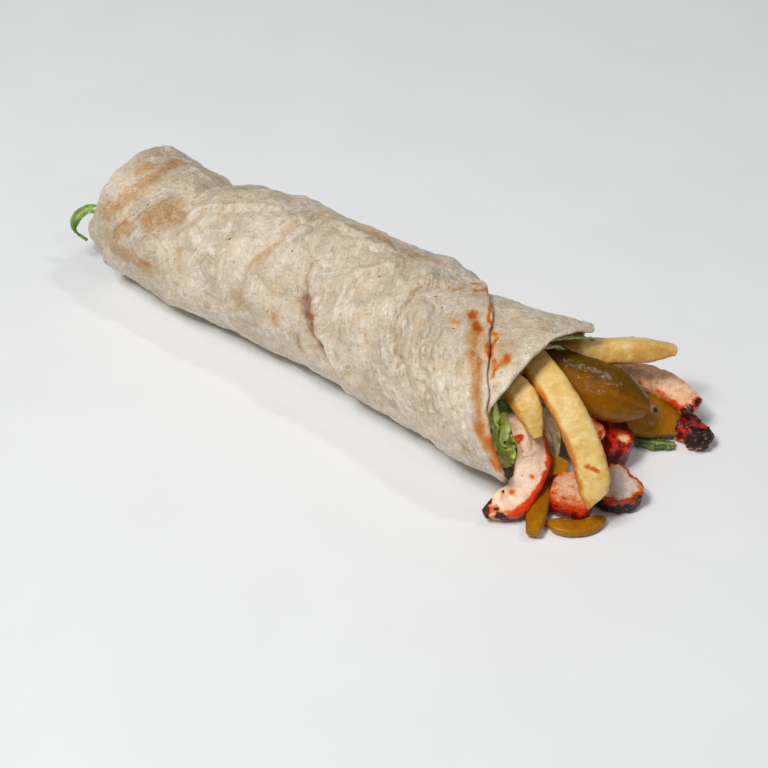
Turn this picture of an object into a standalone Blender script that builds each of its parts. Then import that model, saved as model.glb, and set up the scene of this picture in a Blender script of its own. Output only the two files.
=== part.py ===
"""A gyro wrap lying on its side: a flatbread rolled round its filling, open at the +X end, where
fries, gherkins, roast chicken and lettuce fan out on to the surface that it rests on.

Frame: +X along the roll towards the open mouth, +Z up, the origin under the middle of the bread,
on the flat strip that the roll rests on. Lengths are in millimetres until a mesh is made.
"""

import math

import bmesh
import bpy
from mathutils import Vector, noise

MM = 0.001
CLEAR = 0.35

# The rolled sheet. Angles round the roll are degrees: 0 is the far side, 90 the top, 180 the near
# side and 270 the underside, and from 368 on the sheet lies inside its first turn
SHEET_THICKNESS = 1.8
LAYER_PITCH = 2.3
FLAT_DEPTH = 3.6
OUTER_TIP_ANGLE = 8
INNER_TIP_ANGLE = 568
ANGLE_STEP = 10
LENGTH_STEPS = 24

# The outer flap stands off the layer below by this much at its tip, and lies close from here on
FLAP_LIFT = 1.6
FLAP_LIFT_ANGLES = (48, 140)

# Across the roll at stations along it: x, half width, height, sideways offset of the middle
ROLL_SECTIONS = (
    (-110, 33.8, 57.8, 0.4),
    (-97, 33.7, 57.3, 0.2),
    (-80, 33.0, 54.7, -0.9),
    (-66, 32.8, 53.9, -1.2),
    (-57, 30.6, 50.0, -3.0),
    (-46, 32.8, 53.2, -1.3),
    (-20, 33.8, 56.0, 0.9),
    (5, 33.5, 55.8, 1.5),
    (25, 34.0, 55.7, 0.8),
    (48, 34.4, 57.8, 1.6),
    (66, 33.9, 55.5, -0.6),
    (76, 35.0, 57.0, -1.0),
    (92, 37.4, 59.2, -1.6),
    (106, 39.0, 61.4, -0.3),
    (122, 39.4, 62.0, 0.1),
)

# Where the sheet ends to the left and right, as x at angles round the roll
LEFT_EDGE = (
    (8, -12), (22, -38), (40, -54), (96, -58), (120, -72), (150, -81), (200, -93), (270, -97),
    (345, -90), (380, -84), (398, -89), (416, -96), (515, -97), (535, -100), (568, -96),
)
RIGHT_EDGE = (
    (8, 30), (22, 51), (40, 64), (69, 77), (94, 89), (120, 98), (145, 106), (169, 113),
    (192, 119), (217, 116), (235, 109), (270, 105), (350, 106), (385, 109), (402, 115),
    (414, 119), (430, 116), (445, 112), (480, 110), (513, 107), (568, 102),
)

# Soft swells of the bread, and the pleat across its near side as x at angles round the roll
SWELL_HEIGHT = 1.0
SWELL_LENGTH = 34
PLEAT_LINE = ((112, 7), (138, 15), (156, 25), (170, 30.5), (193, 36))
PLEAT_HEIGHT = 1.7
PLEAT_LENGTH = 26
PLEAT_LIP = 2.5

# The packed filling: x, share of the hollow that it takes, shift to the near side, drop
FILLING_SECTIONS = (
    (-92, 0.72, 0, 1), (-89, 0.93, 0, 0), (-84, 1.0, 0, 0), (80, 1.0, 0, 0), (90, 0.96, 0, 1),
    (98, 0.88, 2, 2), (105, 0.74, 4, 6), (110, 0.5, 6, 9),
)
FILLING_PLAIN = (-84, 80)
FILLING_STEP = 9
FILLING_SIDES = 16
FILLING_CLEARANCE = 1.0

LEAF_THICKNESS = 1.0
LEAF_FOLDS = 4
RIM_ROUNDING = ((-0.5, 0.86), (-0.32, 1.0), (0.3, 1.0), (0.5, 0.9))

# Base colour and roughness
MATERIALS = {
    "flatbread": ((0.80, 0.70, 0.56), 0.62),
    "fry": ((0.86, 0.58, 0.18), 0.50),
    "gherkin": ((0.34, 0.24, 0.03), 0.22),
    "chicken": ((0.72, 0.42, 0.26), 0.45),
    "glazed_chicken": ((0.45, 0.06, 0.02), 0.30),
    "charred_chicken": ((0.10, 0.03, 0.03), 0.40),
    "lettuce": ((0.24, 0.46, 0.08), 0.40),
}


def clear_scene():
    for obj in list(bpy.data.objects):
        bpy.data.objects.remove(obj)


def make_collection(name):
    collection = bpy.data.collections.new(name)
    bpy.context.scene.collection.children.link(collection)
    return collection


def make_material(name):
    colour, roughness = MATERIALS[name]
    material = bpy.data.materials.get(name) or bpy.data.materials.new(name)
    material.use_nodes = True
    shader = material.node_tree.nodes["Principled BSDF"]
    shader.inputs["Base Color"].default_value = (*colour, 1)
    shader.inputs["Roughness"].default_value = roughness
    shader.inputs["Metallic"].default_value = 0
    return material


def add_object(bm, name, material, collection):
    """A named, smooth-shaded object in metres from a bmesh in millimetres."""
    bmesh.ops.scale(bm, vec=(MM, MM, MM), verts=bm.verts)
    mesh = bpy.data.meshes.new(name)
    bm.to_mesh(mesh)
    bm.free()
    mesh.shade_smooth()
    mesh.set_sharp_from_angle(angle=math.radians(50))
    mesh.materials.append(make_material(material))
    obj = bpy.data.objects.new(name, mesh)
    collection.objects.link(obj)
    return obj


def thicken(obj, thickness, offset):
    """Give an open surface its thickness: inwards at offset -1, to both sides at 0."""
    shell = obj.modifiers.new("thickness", "SOLIDIFY")
    shell.thickness = thickness * MM
    shell.offset = offset


def surface(rows):
    """An open surface over rows of equal point count."""
    bm = bmesh.new()
    rows = [[bm.verts.new(p) for p in row] for row in rows]
    for low, high in zip(rows, rows[1:]):
        for k in range(len(low) - 1):
            bm.faces.new((low[k], high[k], high[k + 1], low[k + 1]))
    return bm


def loft(rings):
    """A closed skin over rings of equal point count."""
    bm = bmesh.new()
    rows = [[bm.verts.new(p) for p in ring] for ring in rings]
    for low, high in zip(rows, rows[1:]):
        for k in range(len(low)):
            after = (k + 1) % len(low)
            bm.faces.new((low[k], low[after], high[after], high[k]))
    bm.faces.new(rows[0])
    bm.faces.new(rows[-1])
    bmesh.ops.recalc_face_normals(bm, faces=bm.faces)
    return bm


def ramp(value, low, high):
    """0 below low and 1 above high, eased in between."""
    share = min(1, max(0, (value - low) / (high - low)))
    return share * share * (3 - 2 * share)


def between(rows, at):
    """The values of rows (key, value, ...) at a key, gently eased from row to row."""
    if at <= rows[0][0]:
        return rows[0][1:]
    for low, high in zip(rows, rows[1:]):
        if at <= high[0]:
            share = (at - low[0]) / (high[0] - low[0])
            share = (share + ramp(share, 0, 1)) / 2
            return tuple(a + (b - a) * share for a, b in zip(low[1:], high[1:]))
    return rows[-1][1:]


def pleat_height(x, angle):
    """The sheet gathered into one slanting fold: a steep lip, then a long fall to the right."""
    angle %= 360
    (line_x,) = between(PLEAT_LINE, angle)
    strength = PLEAT_HEIGHT * ramp(angle, 108, 150) * (1 - ramp(angle, 205, 240))
    past = x - line_x
    if past > 0:
        return strength * math.exp(-past / PLEAT_LENGTH) * (1 - math.exp(-past / PLEAT_LIP))
    return -0.5 * strength * math.exp(-((past / 7) ** 2)) * (1 - math.exp(past / 2))


def bread_relief(x, angle):
    turn = math.radians(angle)
    place = Vector((x / SWELL_LENGTH, 1.5 * math.cos(turn), 1.5 * math.sin(turn)))
    swell = SWELL_HEIGHT * noise.noise(place + Vector((3.1, 0.4, 7.7)))
    return swell + pleat_height(x, angle)


def roll_point(x, angle, inset, floor):
    """A point on the roll, inset from its outer face, with the underside pressed flat at floor."""
    half_width, height, offset = between(ROLL_SECTIONS, x)
    half_height = (height + FLAT_DEPTH) / 2
    turn = math.radians(angle)
    out = bread_relief(x, angle) - inset
    y = offset + (half_width + out) * math.cos(turn)
    z = half_height - FLAT_DEPTH + (half_height + out) * math.sin(turn)
    return Vector((x, y, max(z, floor)))


def make_flatbread(collection):
    """The sheet as one spiral surface, thickened inwards."""
    rows = []
    for angle in range(OUTER_TIP_ANGLE, INNER_TIP_ANGLE + 1, ANGLE_STEP):
        lift = FLAP_LIFT * (1 - ramp(angle, *FLAP_LIFT_ANGLES))
        inset = LAYER_PITCH * (angle - OUTER_TIP_ANGLE) / 360 - lift
        floor = LAYER_PITCH if angle > 360 else 0
        (left,) = between(LEFT_EDGE, angle)
        (right,) = between(RIGHT_EDGE, angle)
        spread = [left + (right - left) * k / LENGTH_STEPS for k in range(LENGTH_STEPS + 1)]
        rows.append([roll_point(x, angle, inset, floor) for x in spread])
    bread = add_object(surface(rows), "flatbread", "flatbread", collection)
    thicken(bread, SHEET_THICKNESS, -1)


def smooth_path(points, count):
    """Points on one smooth curve through the given ones."""
    given = [Vector(p) for p in points]
    given = [2 * given[0] - given[1], *given, 2 * given[-1] - given[-2]]
    spans = len(given) - 3
    found = []
    for k in range(count):
        at = k / (count - 1) * spans
        span = min(int(at), spans - 1)
        t = at - span
        a, b, c, d = given[span : span + 4]
        cubic = 3 * b - a - 3 * c + d
        found.append((2 * b + (c - a) * t + (2 * a - 5 * b + 4 * c - d) * t**2 + cubic * t**3) / 2)
    return found


def frames_along(path, stations, roll):
    """For each station of a path: its share of the way, centre, and sideways and upward axes."""
    centres = smooth_path(path, stations)
    turn = math.radians(roll)
    for k, centre in enumerate(centres):
        ahead = (centres[min(k + 1, stations - 1)] - centres[max(k - 1, 0)]).normalized()
        side = ahead.cross(Vector((0, 0, 1))).normalized()
        up = side.cross(ahead)
        rolled_side = side * math.cos(turn) + up * math.sin(turn)
        rolled_up = up * math.cos(turn) - side * math.sin(turn)
        yield k / (stations - 1), centre, rolled_side, rolled_up


def section_point(turn, half_width, half_height, squareness, belly):
    """A point of a section that is round at squareness 2 and nearly square at 4."""
    c, s = math.cos(turn), math.sin(turn)
    across = math.copysign(abs(c) ** (2 / squareness), c) * half_width
    rise = math.copysign(abs(s) ** (2 / squareness), s) * half_height
    return across, rise * (belly if s < 0 else 1)


def end_size(share, ends, end_length):
    """How wide a strip is at a share of its way: full between its two narrowing ends."""
    start = ends[0] + (1 - ends[0]) * math.sin(math.pi / 2 * min(1, share / end_length))
    finish = ends[1] + (1 - ends[1]) * math.sin(math.pi / 2 * min(1, (1 - share) / end_length))
    return min(start, finish)


def strip(name, material, collection, path, width, thickness, ends, roll=0, squareness=3,
          stations=8, sides=8, belly=1, rough=0, end_length=0.2, slant=0):
    """A long piece swept along a smooth path. Belly scales the lower half of its section, and
    slant is how far its last cut leans along the path from the middle to the edge."""
    rings = []
    for share, centre, side, up in frames_along(path, stations, roll):
        size = end_size(share, ends, end_length) / 2
        ahead = up.cross(side) * slant if share == 1 else Vector()
        ring = []
        for k in range(sides):
            turn = 2 * math.pi * (k + 0.5) / sides
            across, rise = section_point(turn, width * size, thickness * size, squareness, belly)
            out = side * across + up * rise
            out += out.normalized() * rough * noise.noise((centre + out) / 6)
            ring.append(centre + out + ahead * (across / width))
        rings.append(ring)
    return add_object(loft(rings), name, material, collection)


def chunk(name, material, collection, outline, thickness, centre, tilt, rough):
    """A cut piece: its outline from above, round its own centre, with rounded rims."""
    rings = []
    for level, scale in RIM_ROUNDING:
        ring = []
        for x, y in outline:
            point = Vector((x * scale, y * scale, level * thickness))
            point += point.normalized() * rough * noise.noise(point / 5 + Vector(centre))
            ring.append(point)
        rings.append(ring)
    obj = add_object(loft(rings), name, material, collection)
    obj.location = Vector(centre) * MM
    obj.rotation_euler = [math.radians(a) for a in tilt]
    return obj


def leaf(name, collection, path, width, roll=0, ruffle=1.2, waves=2.5, stations=9):
    """A thin wavy leaf along a path: its edges ruffle and its ends narrow."""
    rows = []
    for share, centre, side, up in frames_along(path, stations, roll):
        half = width / 2 * (0.45 + 0.55 * math.sin(math.pi * share))
        row = []
        for k in range(LEAF_FOLDS + 1):
            across = 2 * k / LEAF_FOLDS - 1
            wave = ruffle * abs(across) * math.sin(2 * math.pi * waves * share + 1.4 * k)
            row.append(centre + side * across * half + up * wave)
        rows.append(row)
    obj = add_object(surface(rows), name, "lettuce", collection)
    thicken(obj, LEAF_THICKNESS, 0)
    return obj


def evaluated_mesh(obj):
    depsgraph = bpy.context.evaluated_depsgraph_get()
    return bpy.data.meshes.new_from_object(obj.evaluated_get(depsgraph))


def triangulate(mesh):
    """Split every face into triangles, which a later cut leaves closed."""
    bm = bmesh.new()
    bm.from_mesh(mesh)
    bmesh.ops.triangulate(bm, faces=bm.faces)
    bm.to_mesh(mesh)
    bm.free()


def apply_boolean(obj, operands, operation):
    """Join or cut an object with a collection of others, which are removed afterwards."""
    modifier = obj.modifiers.new("boolean", "BOOLEAN")
    modifier.operand_type = "COLLECTION"
    modifier.collection = operands
    modifier.operation = operation
    modifier.solver = "EXACT"
    mesh = evaluated_mesh(obj)
    triangulate(mesh)
    obj.modifiers.clear()
    obj.data = mesh
    for other in list(operands.objects):
        bpy.data.objects.remove(other)
    bpy.data.collections.remove(operands)


def swollen_copy(obj, collection):
    """A copy of an object that is larger by the clearance on every face."""
    bm = bmesh.new()
    bm.from_mesh(evaluated_mesh(obj))
    bm.transform(obj.matrix_world)
    bm.normal_update()
    moved = [v.co + v.normal * CLEAR * MM * v.calc_shell_factor() for v in bm.verts]
    for vert, place in zip(bm.verts, moved):
        vert.co = place
    mesh = bpy.data.meshes.new(obj.name + "_room")
    bm.to_mesh(mesh)
    bm.free()
    collection.objects.link(bpy.data.objects.new(mesh.name, mesh))


def cut_clear(obj, others):
    """Cut the room of other pieces out of an object, so that a small gap stays between them."""
    rooms = make_collection("rooms")
    for other in others:
        swollen_copy(other, rooms)
    apply_boolean(obj, rooms, "DIFFERENCE")


def boxes_meet(a, b):
    """Whether the upright boxes round two objects come within a millimetre of each other."""
    corners = [[obj.matrix_world @ Vector(c) for c in obj.bound_box] for obj in (a, b)]
    low_a, low_b = (Vector(map(min, zip(*c))) for c in corners)
    high_a, high_b = (Vector(map(max, zip(*c))) for c in corners)
    return all(low_a[k] < high_b[k] + MM and low_b[k] < high_a[k] + MM for k in range(3))


def settle(pieces):
    """Press each piece against those laid before it."""
    bpy.context.view_layer.update()
    for k, piece in enumerate(pieces):
        touched = [other for other in pieces[:k] if boxes_meet(piece, other)]
        if touched:
            cut_clear(piece, touched)


def make_fries(collection):
    long = strip(
        "fry_long", "fry", collection,
        [(97, 7, 40.5), (111, -1, 42), (128, -9, 37.5), (141, -15, 27), (149.5, -20.5, 16)],
        width=11.5, thickness=8.8, ends=(0.85, 0.78), roll=-20, squareness=4, stations=9,
        end_length=0.1, slant=7)
    short = strip(
        "fry_short", "fry", collection,
        [(98, -11, 38), (107, -13, 40.5), (115, -16, 37), (121, -19, 30)],
        width=10.5, thickness=8, ends=(0.8, 0.4), roll=-25, squareness=3.6, end_length=0.45)
    far = strip(
        "fry_far", "fry", collection,
        [(106, 17, 35.5), (113, 23, 36.8), (126, 34.5, 36.8), (139.5, 47.2, 35.4)],
        width=12.6, thickness=9, ends=(0.8, 0.48), roll=25, squareness=3.6, stations=9,
        end_length=0.3)
    return long, short, far


def make_gherkins(collection):
    half = strip(
        "gherkin_half", "gherkin", collection,
        [(101, 6.5, 34.8), (112.5, 10, 33.8), (128, 16.8, 29.6), (142, 24.6, 23.4)],
        width=22, thickness=14, ends=(0.5, 0.4), roll=-30, squareness=2.2, stations=10,
        sides=10, belly=0.5, end_length=0.3)
    end = strip(
        "gherkin_end", "gherkin", collection,
        [(119.5, 28, 11), (132, 35, 9), (148, 43, 6)],
        width=21.5, thickness=11, ends=(0.6, 0.64), roll=-20, squareness=2.3, sides=10, belly=0.6,
        end_length=0.35)
    stick = strip(
        "gherkin_stick", "gherkin", collection,
        [(113, 0, 7), (125, -18, 5), (134.5, -39, 3.6)],
        width=7.5, thickness=5, ends=(0.8, 0.7), stations=7)
    bit = chunk(
        "gherkin_bit", "gherkin", collection,
        [(-6, -3), (-1, -5), (5, -3), (6, 2), (0, 4), (-5, 3)],
        thickness=5.5, centre=(125, -12, 10.5), tilt=(25, 10, 30), rough=0.5)
    slice_ = strip(
        "gherkin_slice", "gherkin", collection,
        [(136, -30.2, 2.1), (142.5, -29, 2.3), (148, -24.4, 2.3), (151, -16.8, 2.1)],
        width=6.2, thickness=3.4, ends=(0.4, 0.6), stations=7)
    return half, [end, stick, bit, slice_]


def make_chicken(collection):
    near = strip(
        "chicken_near", "chicken", collection,
        [(104, -14, 29), (114, -15, 26), (120.5, -19, 17), (122, -31, 7.5), (115.5, -43, 4.4)],
        width=12, thickness=6.8, ends=(0.8, 0.35), roll=20, stations=10, sides=10, rough=0.7)
    block = chunk(
        "chicken_block", "chicken", collection,
        [(-8, -6), (-3, -8), (6, -8), (8, -4), (8, 4), (4, 8), (-4, 8), (-8, 4)],
        thickness=11.5, centre=(137.5, -17, 6.3), tilt=(0, 0, 20), rough=0.5)
    cut_slice = chunk(
        "chicken_slice", "chicken", collection,
        [(-4, -9.5), (3, -8.5), (8.5, -3.5), (10.5, 2.5), (4, 7.5), (-6, 9.5), (-9.5, 5), (-9, -5)],
        thickness=8, centre=(149, -3, 5), tilt=(5, 0, 0), rough=0.9)
    glazed = chunk(
        "chicken_glazed", "glazed_chicken", collection,
        [(-8, -7), (0, -9), (8, -6), (9, 2), (5, 8), (-3, 9), (-9, 3)],
        thickness=13, centre=(134.5, 13.5, 8.2), tilt=(6, 6, 30), rough=1.2)
    shred = chunk(
        "chicken_shred", "chicken", collection,
        [(-6, -4), (0, -6), (5, -4), (6, 2), (1, 5), (-6, 3)],
        thickness=9, centre=(130.5, 4.5, 19), tilt=(20, 20, 0), rough=1)
    far = strip(
        "chicken_far", "chicken", collection,
        [(107, 24, 18.5), (116, 35.5, 19.8), (127, 43.5, 18.8), (140, 48, 16.4), (153, 47.5, 12.8)],
        width=11, thickness=6.5, ends=(0.5, 0.85), roll=-10, stations=10, sides=10, rough=0.7)
    charred = strip(
        "chicken_charred", "charred_chicken", collection,
        [(145, 42.5, 4.2), (151.5, 43, 4.6), (158, 42, 4.8), (163, 38, 4)],
        width=10.5, thickness=7.6, ends=(0.6, 0.5), squareness=2.8, sides=10, rough=1)
    return [near, block, cut_slice, glazed, shred, far, charred]


def make_loose_leaf(collection):
    return leaf("lettuce_leaf", collection, [(138, 27, 1.8), (145, 30, 2), (153, 34.5, 1.8)],
                width=6.5, ruffle=0.6)


def make_filling_core(collection):
    """The packed filling, as wide as the hollow inside the innermost turn of the bread."""
    inset = LAYER_PITCH * (INNER_TIP_ANGLE - OUTER_TIP_ANGLE) / 360
    inset += SHEET_THICKNESS + FILLING_CLEARANCE
    floor = 2 * LAYER_PITCH + SHEET_THICKNESS
    stations = {row[0] for row in FILLING_SECTIONS} | set(range(*FILLING_PLAIN, FILLING_STEP))
    rings = []
    for x in sorted(stations):
        size, shift, drop = between(FILLING_SECTIONS, x)
        _, height, offset = between(ROLL_SECTIONS, x)
        middle = Vector((x, offset, height / 2))
        moved = middle - Vector((0, shift, drop))
        ring = []
        for k in range(FILLING_SIDES):
            point = roll_point(x, 360 * k / FILLING_SIDES, inset, floor)
            point = moved + (point - middle) * size
            point.z = max(point.z, floor)
            ring.append(point)
        rings.append(ring)
    return add_object(loft(rings), "lettuce_filling", "lettuce", collection)


def make_filling(collection, neighbours):
    """The filling with the leaves that show at both ends fused to it, clear of the other pieces."""
    filling = make_filling_core(collection)
    leaves = make_collection("leaves")
    leaf("rim_leaf", leaves, [(97, -24, 40), (104, -27, 33), (106, -27, 24), (105, -22, 15)],
         width=9, roll=70)
    leaf("inner_leaf", leaves, [(97, -17, 40), (105, -20, 34), (109, -20, 24), (108, -16, 15)],
         width=9, roll=50, waves=3.2)
    leaf("low_leaf", leaves, [(96, -14, 14), (106, -15, 12), (113, -16, 13), (115, -11, 18)],
         width=8, roll=20)
    leaf("middle_leaf", leaves, [(98, -1, 31), (109, -4, 30), (117, -6, 24), (120, -5, 15)],
         width=9, roll=40)
    tail = [(-86, -14, 27), (-100, -14, 27), (-110, -16, 26.5), (-116, -19.5, 23),
            (-115.5, -23.5, 17), (-110, -25.5, 14)]
    leaf("tail_leaf", leaves, tail, width=5, roll=60, waves=1.5, stations=11)
    apply_boolean(filling, leaves, "UNION")
    cut_clear(filling, neighbours)


def main():
    clear_scene()
    wrap = make_collection("gyro_wrap")
    make_flatbread(wrap)
    long_fry, short_fry, far_fry = make_fries(wrap)
    half_gherkin, other_gherkins = make_gherkins(wrap)
    pieces = [long_fry, short_fry, half_gherkin, far_fry, *other_gherkins]
    pieces += [*make_chicken(wrap), make_loose_leaf(wrap)]
    settle(pieces)
    make_filling(wrap, pieces)


main()
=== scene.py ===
import math
import random
import bpy
import numpy as np
from mathutils import Euler, Matrix, Vector, noise


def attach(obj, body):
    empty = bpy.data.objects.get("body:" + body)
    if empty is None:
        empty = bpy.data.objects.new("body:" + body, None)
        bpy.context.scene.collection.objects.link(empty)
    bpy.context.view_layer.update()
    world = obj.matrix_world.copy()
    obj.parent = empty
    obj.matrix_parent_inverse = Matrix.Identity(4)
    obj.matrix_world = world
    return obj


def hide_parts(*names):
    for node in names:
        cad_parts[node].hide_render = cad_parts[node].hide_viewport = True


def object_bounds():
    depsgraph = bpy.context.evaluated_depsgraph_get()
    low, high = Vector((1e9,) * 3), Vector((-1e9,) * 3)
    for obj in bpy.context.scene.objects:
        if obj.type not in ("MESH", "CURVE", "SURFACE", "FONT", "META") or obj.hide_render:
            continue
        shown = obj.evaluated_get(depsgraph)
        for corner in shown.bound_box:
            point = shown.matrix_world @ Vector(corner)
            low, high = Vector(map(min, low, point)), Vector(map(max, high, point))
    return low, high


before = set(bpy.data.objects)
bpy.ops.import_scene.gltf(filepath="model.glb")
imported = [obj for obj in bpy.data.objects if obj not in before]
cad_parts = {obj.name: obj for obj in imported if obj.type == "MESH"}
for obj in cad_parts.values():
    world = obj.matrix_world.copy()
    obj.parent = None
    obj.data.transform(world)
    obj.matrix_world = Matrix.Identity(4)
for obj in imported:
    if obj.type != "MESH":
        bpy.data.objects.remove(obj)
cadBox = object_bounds()

# Lengths are in millimetres until a mesh is made. +X runs along the roll to its open end, +Z is up
mm = 0.001  # in metres
restGap = 0.15  # loose pieces stay this far above the surface that they rest on
fullTurn = 2 * math.pi


# Small helpers for values and curves
def easeStep(value, low, high):
    share = np.clip((value - low) / (high - low), 0, 1)
    return share * share * (3 - 2 * share)


def between(rows, at):  # values of rows (key, value, ...) at a key, eased from row to row
    if at <= rows[0][0]:
        return rows[0][1:]
    for low, high in zip(rows, rows[1:]):
        if at <= high[0]:
            share = (at - low[0]) / (high[0] - low[0])
            share = (share + share * share * (3 - 2 * share)) / 2
            return tuple(a + (b - a) * share for a, b in zip(low[1:], high[1:]))
    return rows[-1][1:]


def smoothPath(points, count):
    given = [Vector(p) for p in points]
    given = [2 * given[0] - given[1], *given, 2 * given[-1] - given[-2]]
    spans = len(given) - 3
    found = []
    for k in range(count):
        at = k / (count - 1) * spans
        span = min(int(at), spans - 1)
        t = at - span
        a, b, c, d = given[span : span + 4]
        cubic = 3 * b - a - 3 * c + d
        found.append((2 * b + (c - a) * t + (2 * a - 5 * b + 4 * c - d) * t**2 + cubic * t**3) / 2)
    return found


def pathFrames(path, stations, roll):  # place, directions ahead, sideways and up, share of the path
    centres = smoothPath(path, stations)
    turn = math.radians(roll)
    for k, centre in enumerate(centres):
        ahead = (centres[min(k + 1, stations - 1)] - centres[max(k - 1, 0)]).normalized()
        side = ahead.cross(Vector((0, 0, 1))).normalized()
        up = side.cross(ahead)
        yield (centre, ahead, side * math.cos(turn) + up * math.sin(turn),
               up * math.cos(turn) - side * math.sin(turn), k / (stations - 1))


def fractal(points, size, octaves=3, shift=0.0):  # noise from about -1 to 1 at each of the points
    offset = Vector((shift, 1.7 * shift, -shift))
    return np.array([noise.fractal(Vector(p) / size + offset, 1.0, 2.0, octaves) for p in points])


def ridged(points, size, octaves=3, shift=0.0):
    offset = Vector((shift, 1.7 * shift, -shift))
    return np.array([noise.turbulence(Vector(p) / size + offset, octaves, True) for p in points])


def strokeField(x, y, strokes):  # how close each place is to soft strokes (width, strength, points)
    field = np.zeros_like(x)
    for width, strength, points in strokes:
        nearest = np.full_like(x, 1e9)
        for (ax, ay), (bx, by) in zip(points, points[1:] or points):
            dx, dy = bx - ax, by - ay
            long2 = max(dx * dx + dy * dy, 1e-9)
            t = np.clip(((x - ax) * dx + (y - ay) * dy) / long2, 0, 1)
            nearest = np.minimum(nearest, np.hypot(x - ax - t * dx, y - ay - t * dy))
        mark = strength * np.exp(-((nearest / width) ** 2))
        field = np.where(np.abs(mark) > np.abs(field), mark, field)
    return field


def nearPlaces(points, spots):  # 1 at each spot (size, place), fading away from it
    return sum(np.exp(-(((points - place) ** 2).sum(axis=1) / size**2)) for size, place in spots)


# Meshes
def gridFaces(rows, columns, start=0):  # the faces between closed rings of points
    index = np.arange(rows * columns).reshape(rows, columns) + start
    after = np.roll(index, -1, axis=1)
    corners = (index[:-1], after[:-1], after[1:], index[1:])
    return [tuple(f) for f in np.stack(corners, axis=-1).reshape(-1, 4)]


def gridNormals(rings):  # outward normals of a closed grid of rings
    around = np.roll(rings, -1, axis=1) - np.roll(rings, 1, axis=1)
    along = np.gradient(rings, axis=0)
    normal = np.cross(around, along)
    size = np.linalg.norm(normal, axis=2, keepdims=True)
    return normal / np.maximum(size, 1e-9)


def sculpted(rings, first, second, relief):  # relief pushes the points out, the floor stops them
    rise = relief(rings.reshape(-1, 3), first.ravel(), second.ravel())
    rings = rings + gridNormals(rings) * rise.reshape(first.shape)[..., None]
    rings[..., 2] = np.maximum(rings[..., 2], restGap)
    return rings


def painted(points, first, second, paintMarks):
    marks = paintMarks(points.reshape(-1, 3), first.ravel(), second.ravel())
    return np.stack(np.broadcast_arrays(*marks), axis=-1).reshape(points.shape)


def addObject(name, data):
    added = bpy.data.objects.new(name, data)
    bpy.context.scene.collection.objects.link(added)
    return added


def makePiece(name, verts, faces, material, node=None, slot=None, marks=None, grain=None):
    mesh = bpy.data.meshes.new(name)
    mesh.from_pydata((np.asarray(verts) * mm).tolist(), [], [list(f) for f in faces])
    mesh.validate()
    mesh.shade_smooth()
    mesh.materials.append(material)
    for label, values in (("marks", marks), ("grain", grain)):
        if values is not None:
            layer = mesh.attributes.new(label, "FLOAT_COLOR", "POINT")
            rgba = np.ones((len(mesh.vertices), 4))
            rgba[: len(values), :3] = values
            layer.data.foreach_set("color", rgba.ravel())
    piece = addObject(name, mesh)
    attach(piece, "root")
    if node:
        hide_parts(node)
    return piece


def closedPiece(name, rings, material, marks, grain=None, **where):  # rings with a face on each end
    rows, columns = rings.shape[:2]
    faces = gridFaces(rows, columns)
    faces.append(tuple(range(columns))[::-1])
    faces.append(tuple(range((rows - 1) * columns, rows * columns)))
    flat = None if grain is None else grain.reshape(-1, 3)
    return makePiece(name, rings.reshape(-1, 3), faces, material,
                     marks=marks.reshape(-1, 3), grain=flat, **where)


# Shaders
def paint(red, green, blue):  # a screen colour, 0 to 255, as the shader wants it
    share = [c / 255 for c in (red, green, blue)]
    return (*[c / 12.92 if c < 0.04 else ((c + 0.055) / 1.055) ** 2.4 for c in share], 1)


class Wire:  # a socket that can be added, multiplied and so on like a number
    def __init__(self, look, socket):
        self.look = look
        self.socket = socket

    def calc(self, operation, first, second):
        return self.look.add("ShaderNodeMath", {"operation": operation}, {0: first, 1: second})

    def __add__(self, other):
        return self.calc("ADD", self, other)

    def __sub__(self, other):
        return self.calc("SUBTRACT", self, other)

    def __rsub__(self, other):
        return self.calc("SUBTRACT", other, self)

    def __mul__(self, other):
        return self.calc("MULTIPLY", self, other)

    __radd__ = __add__


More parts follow.
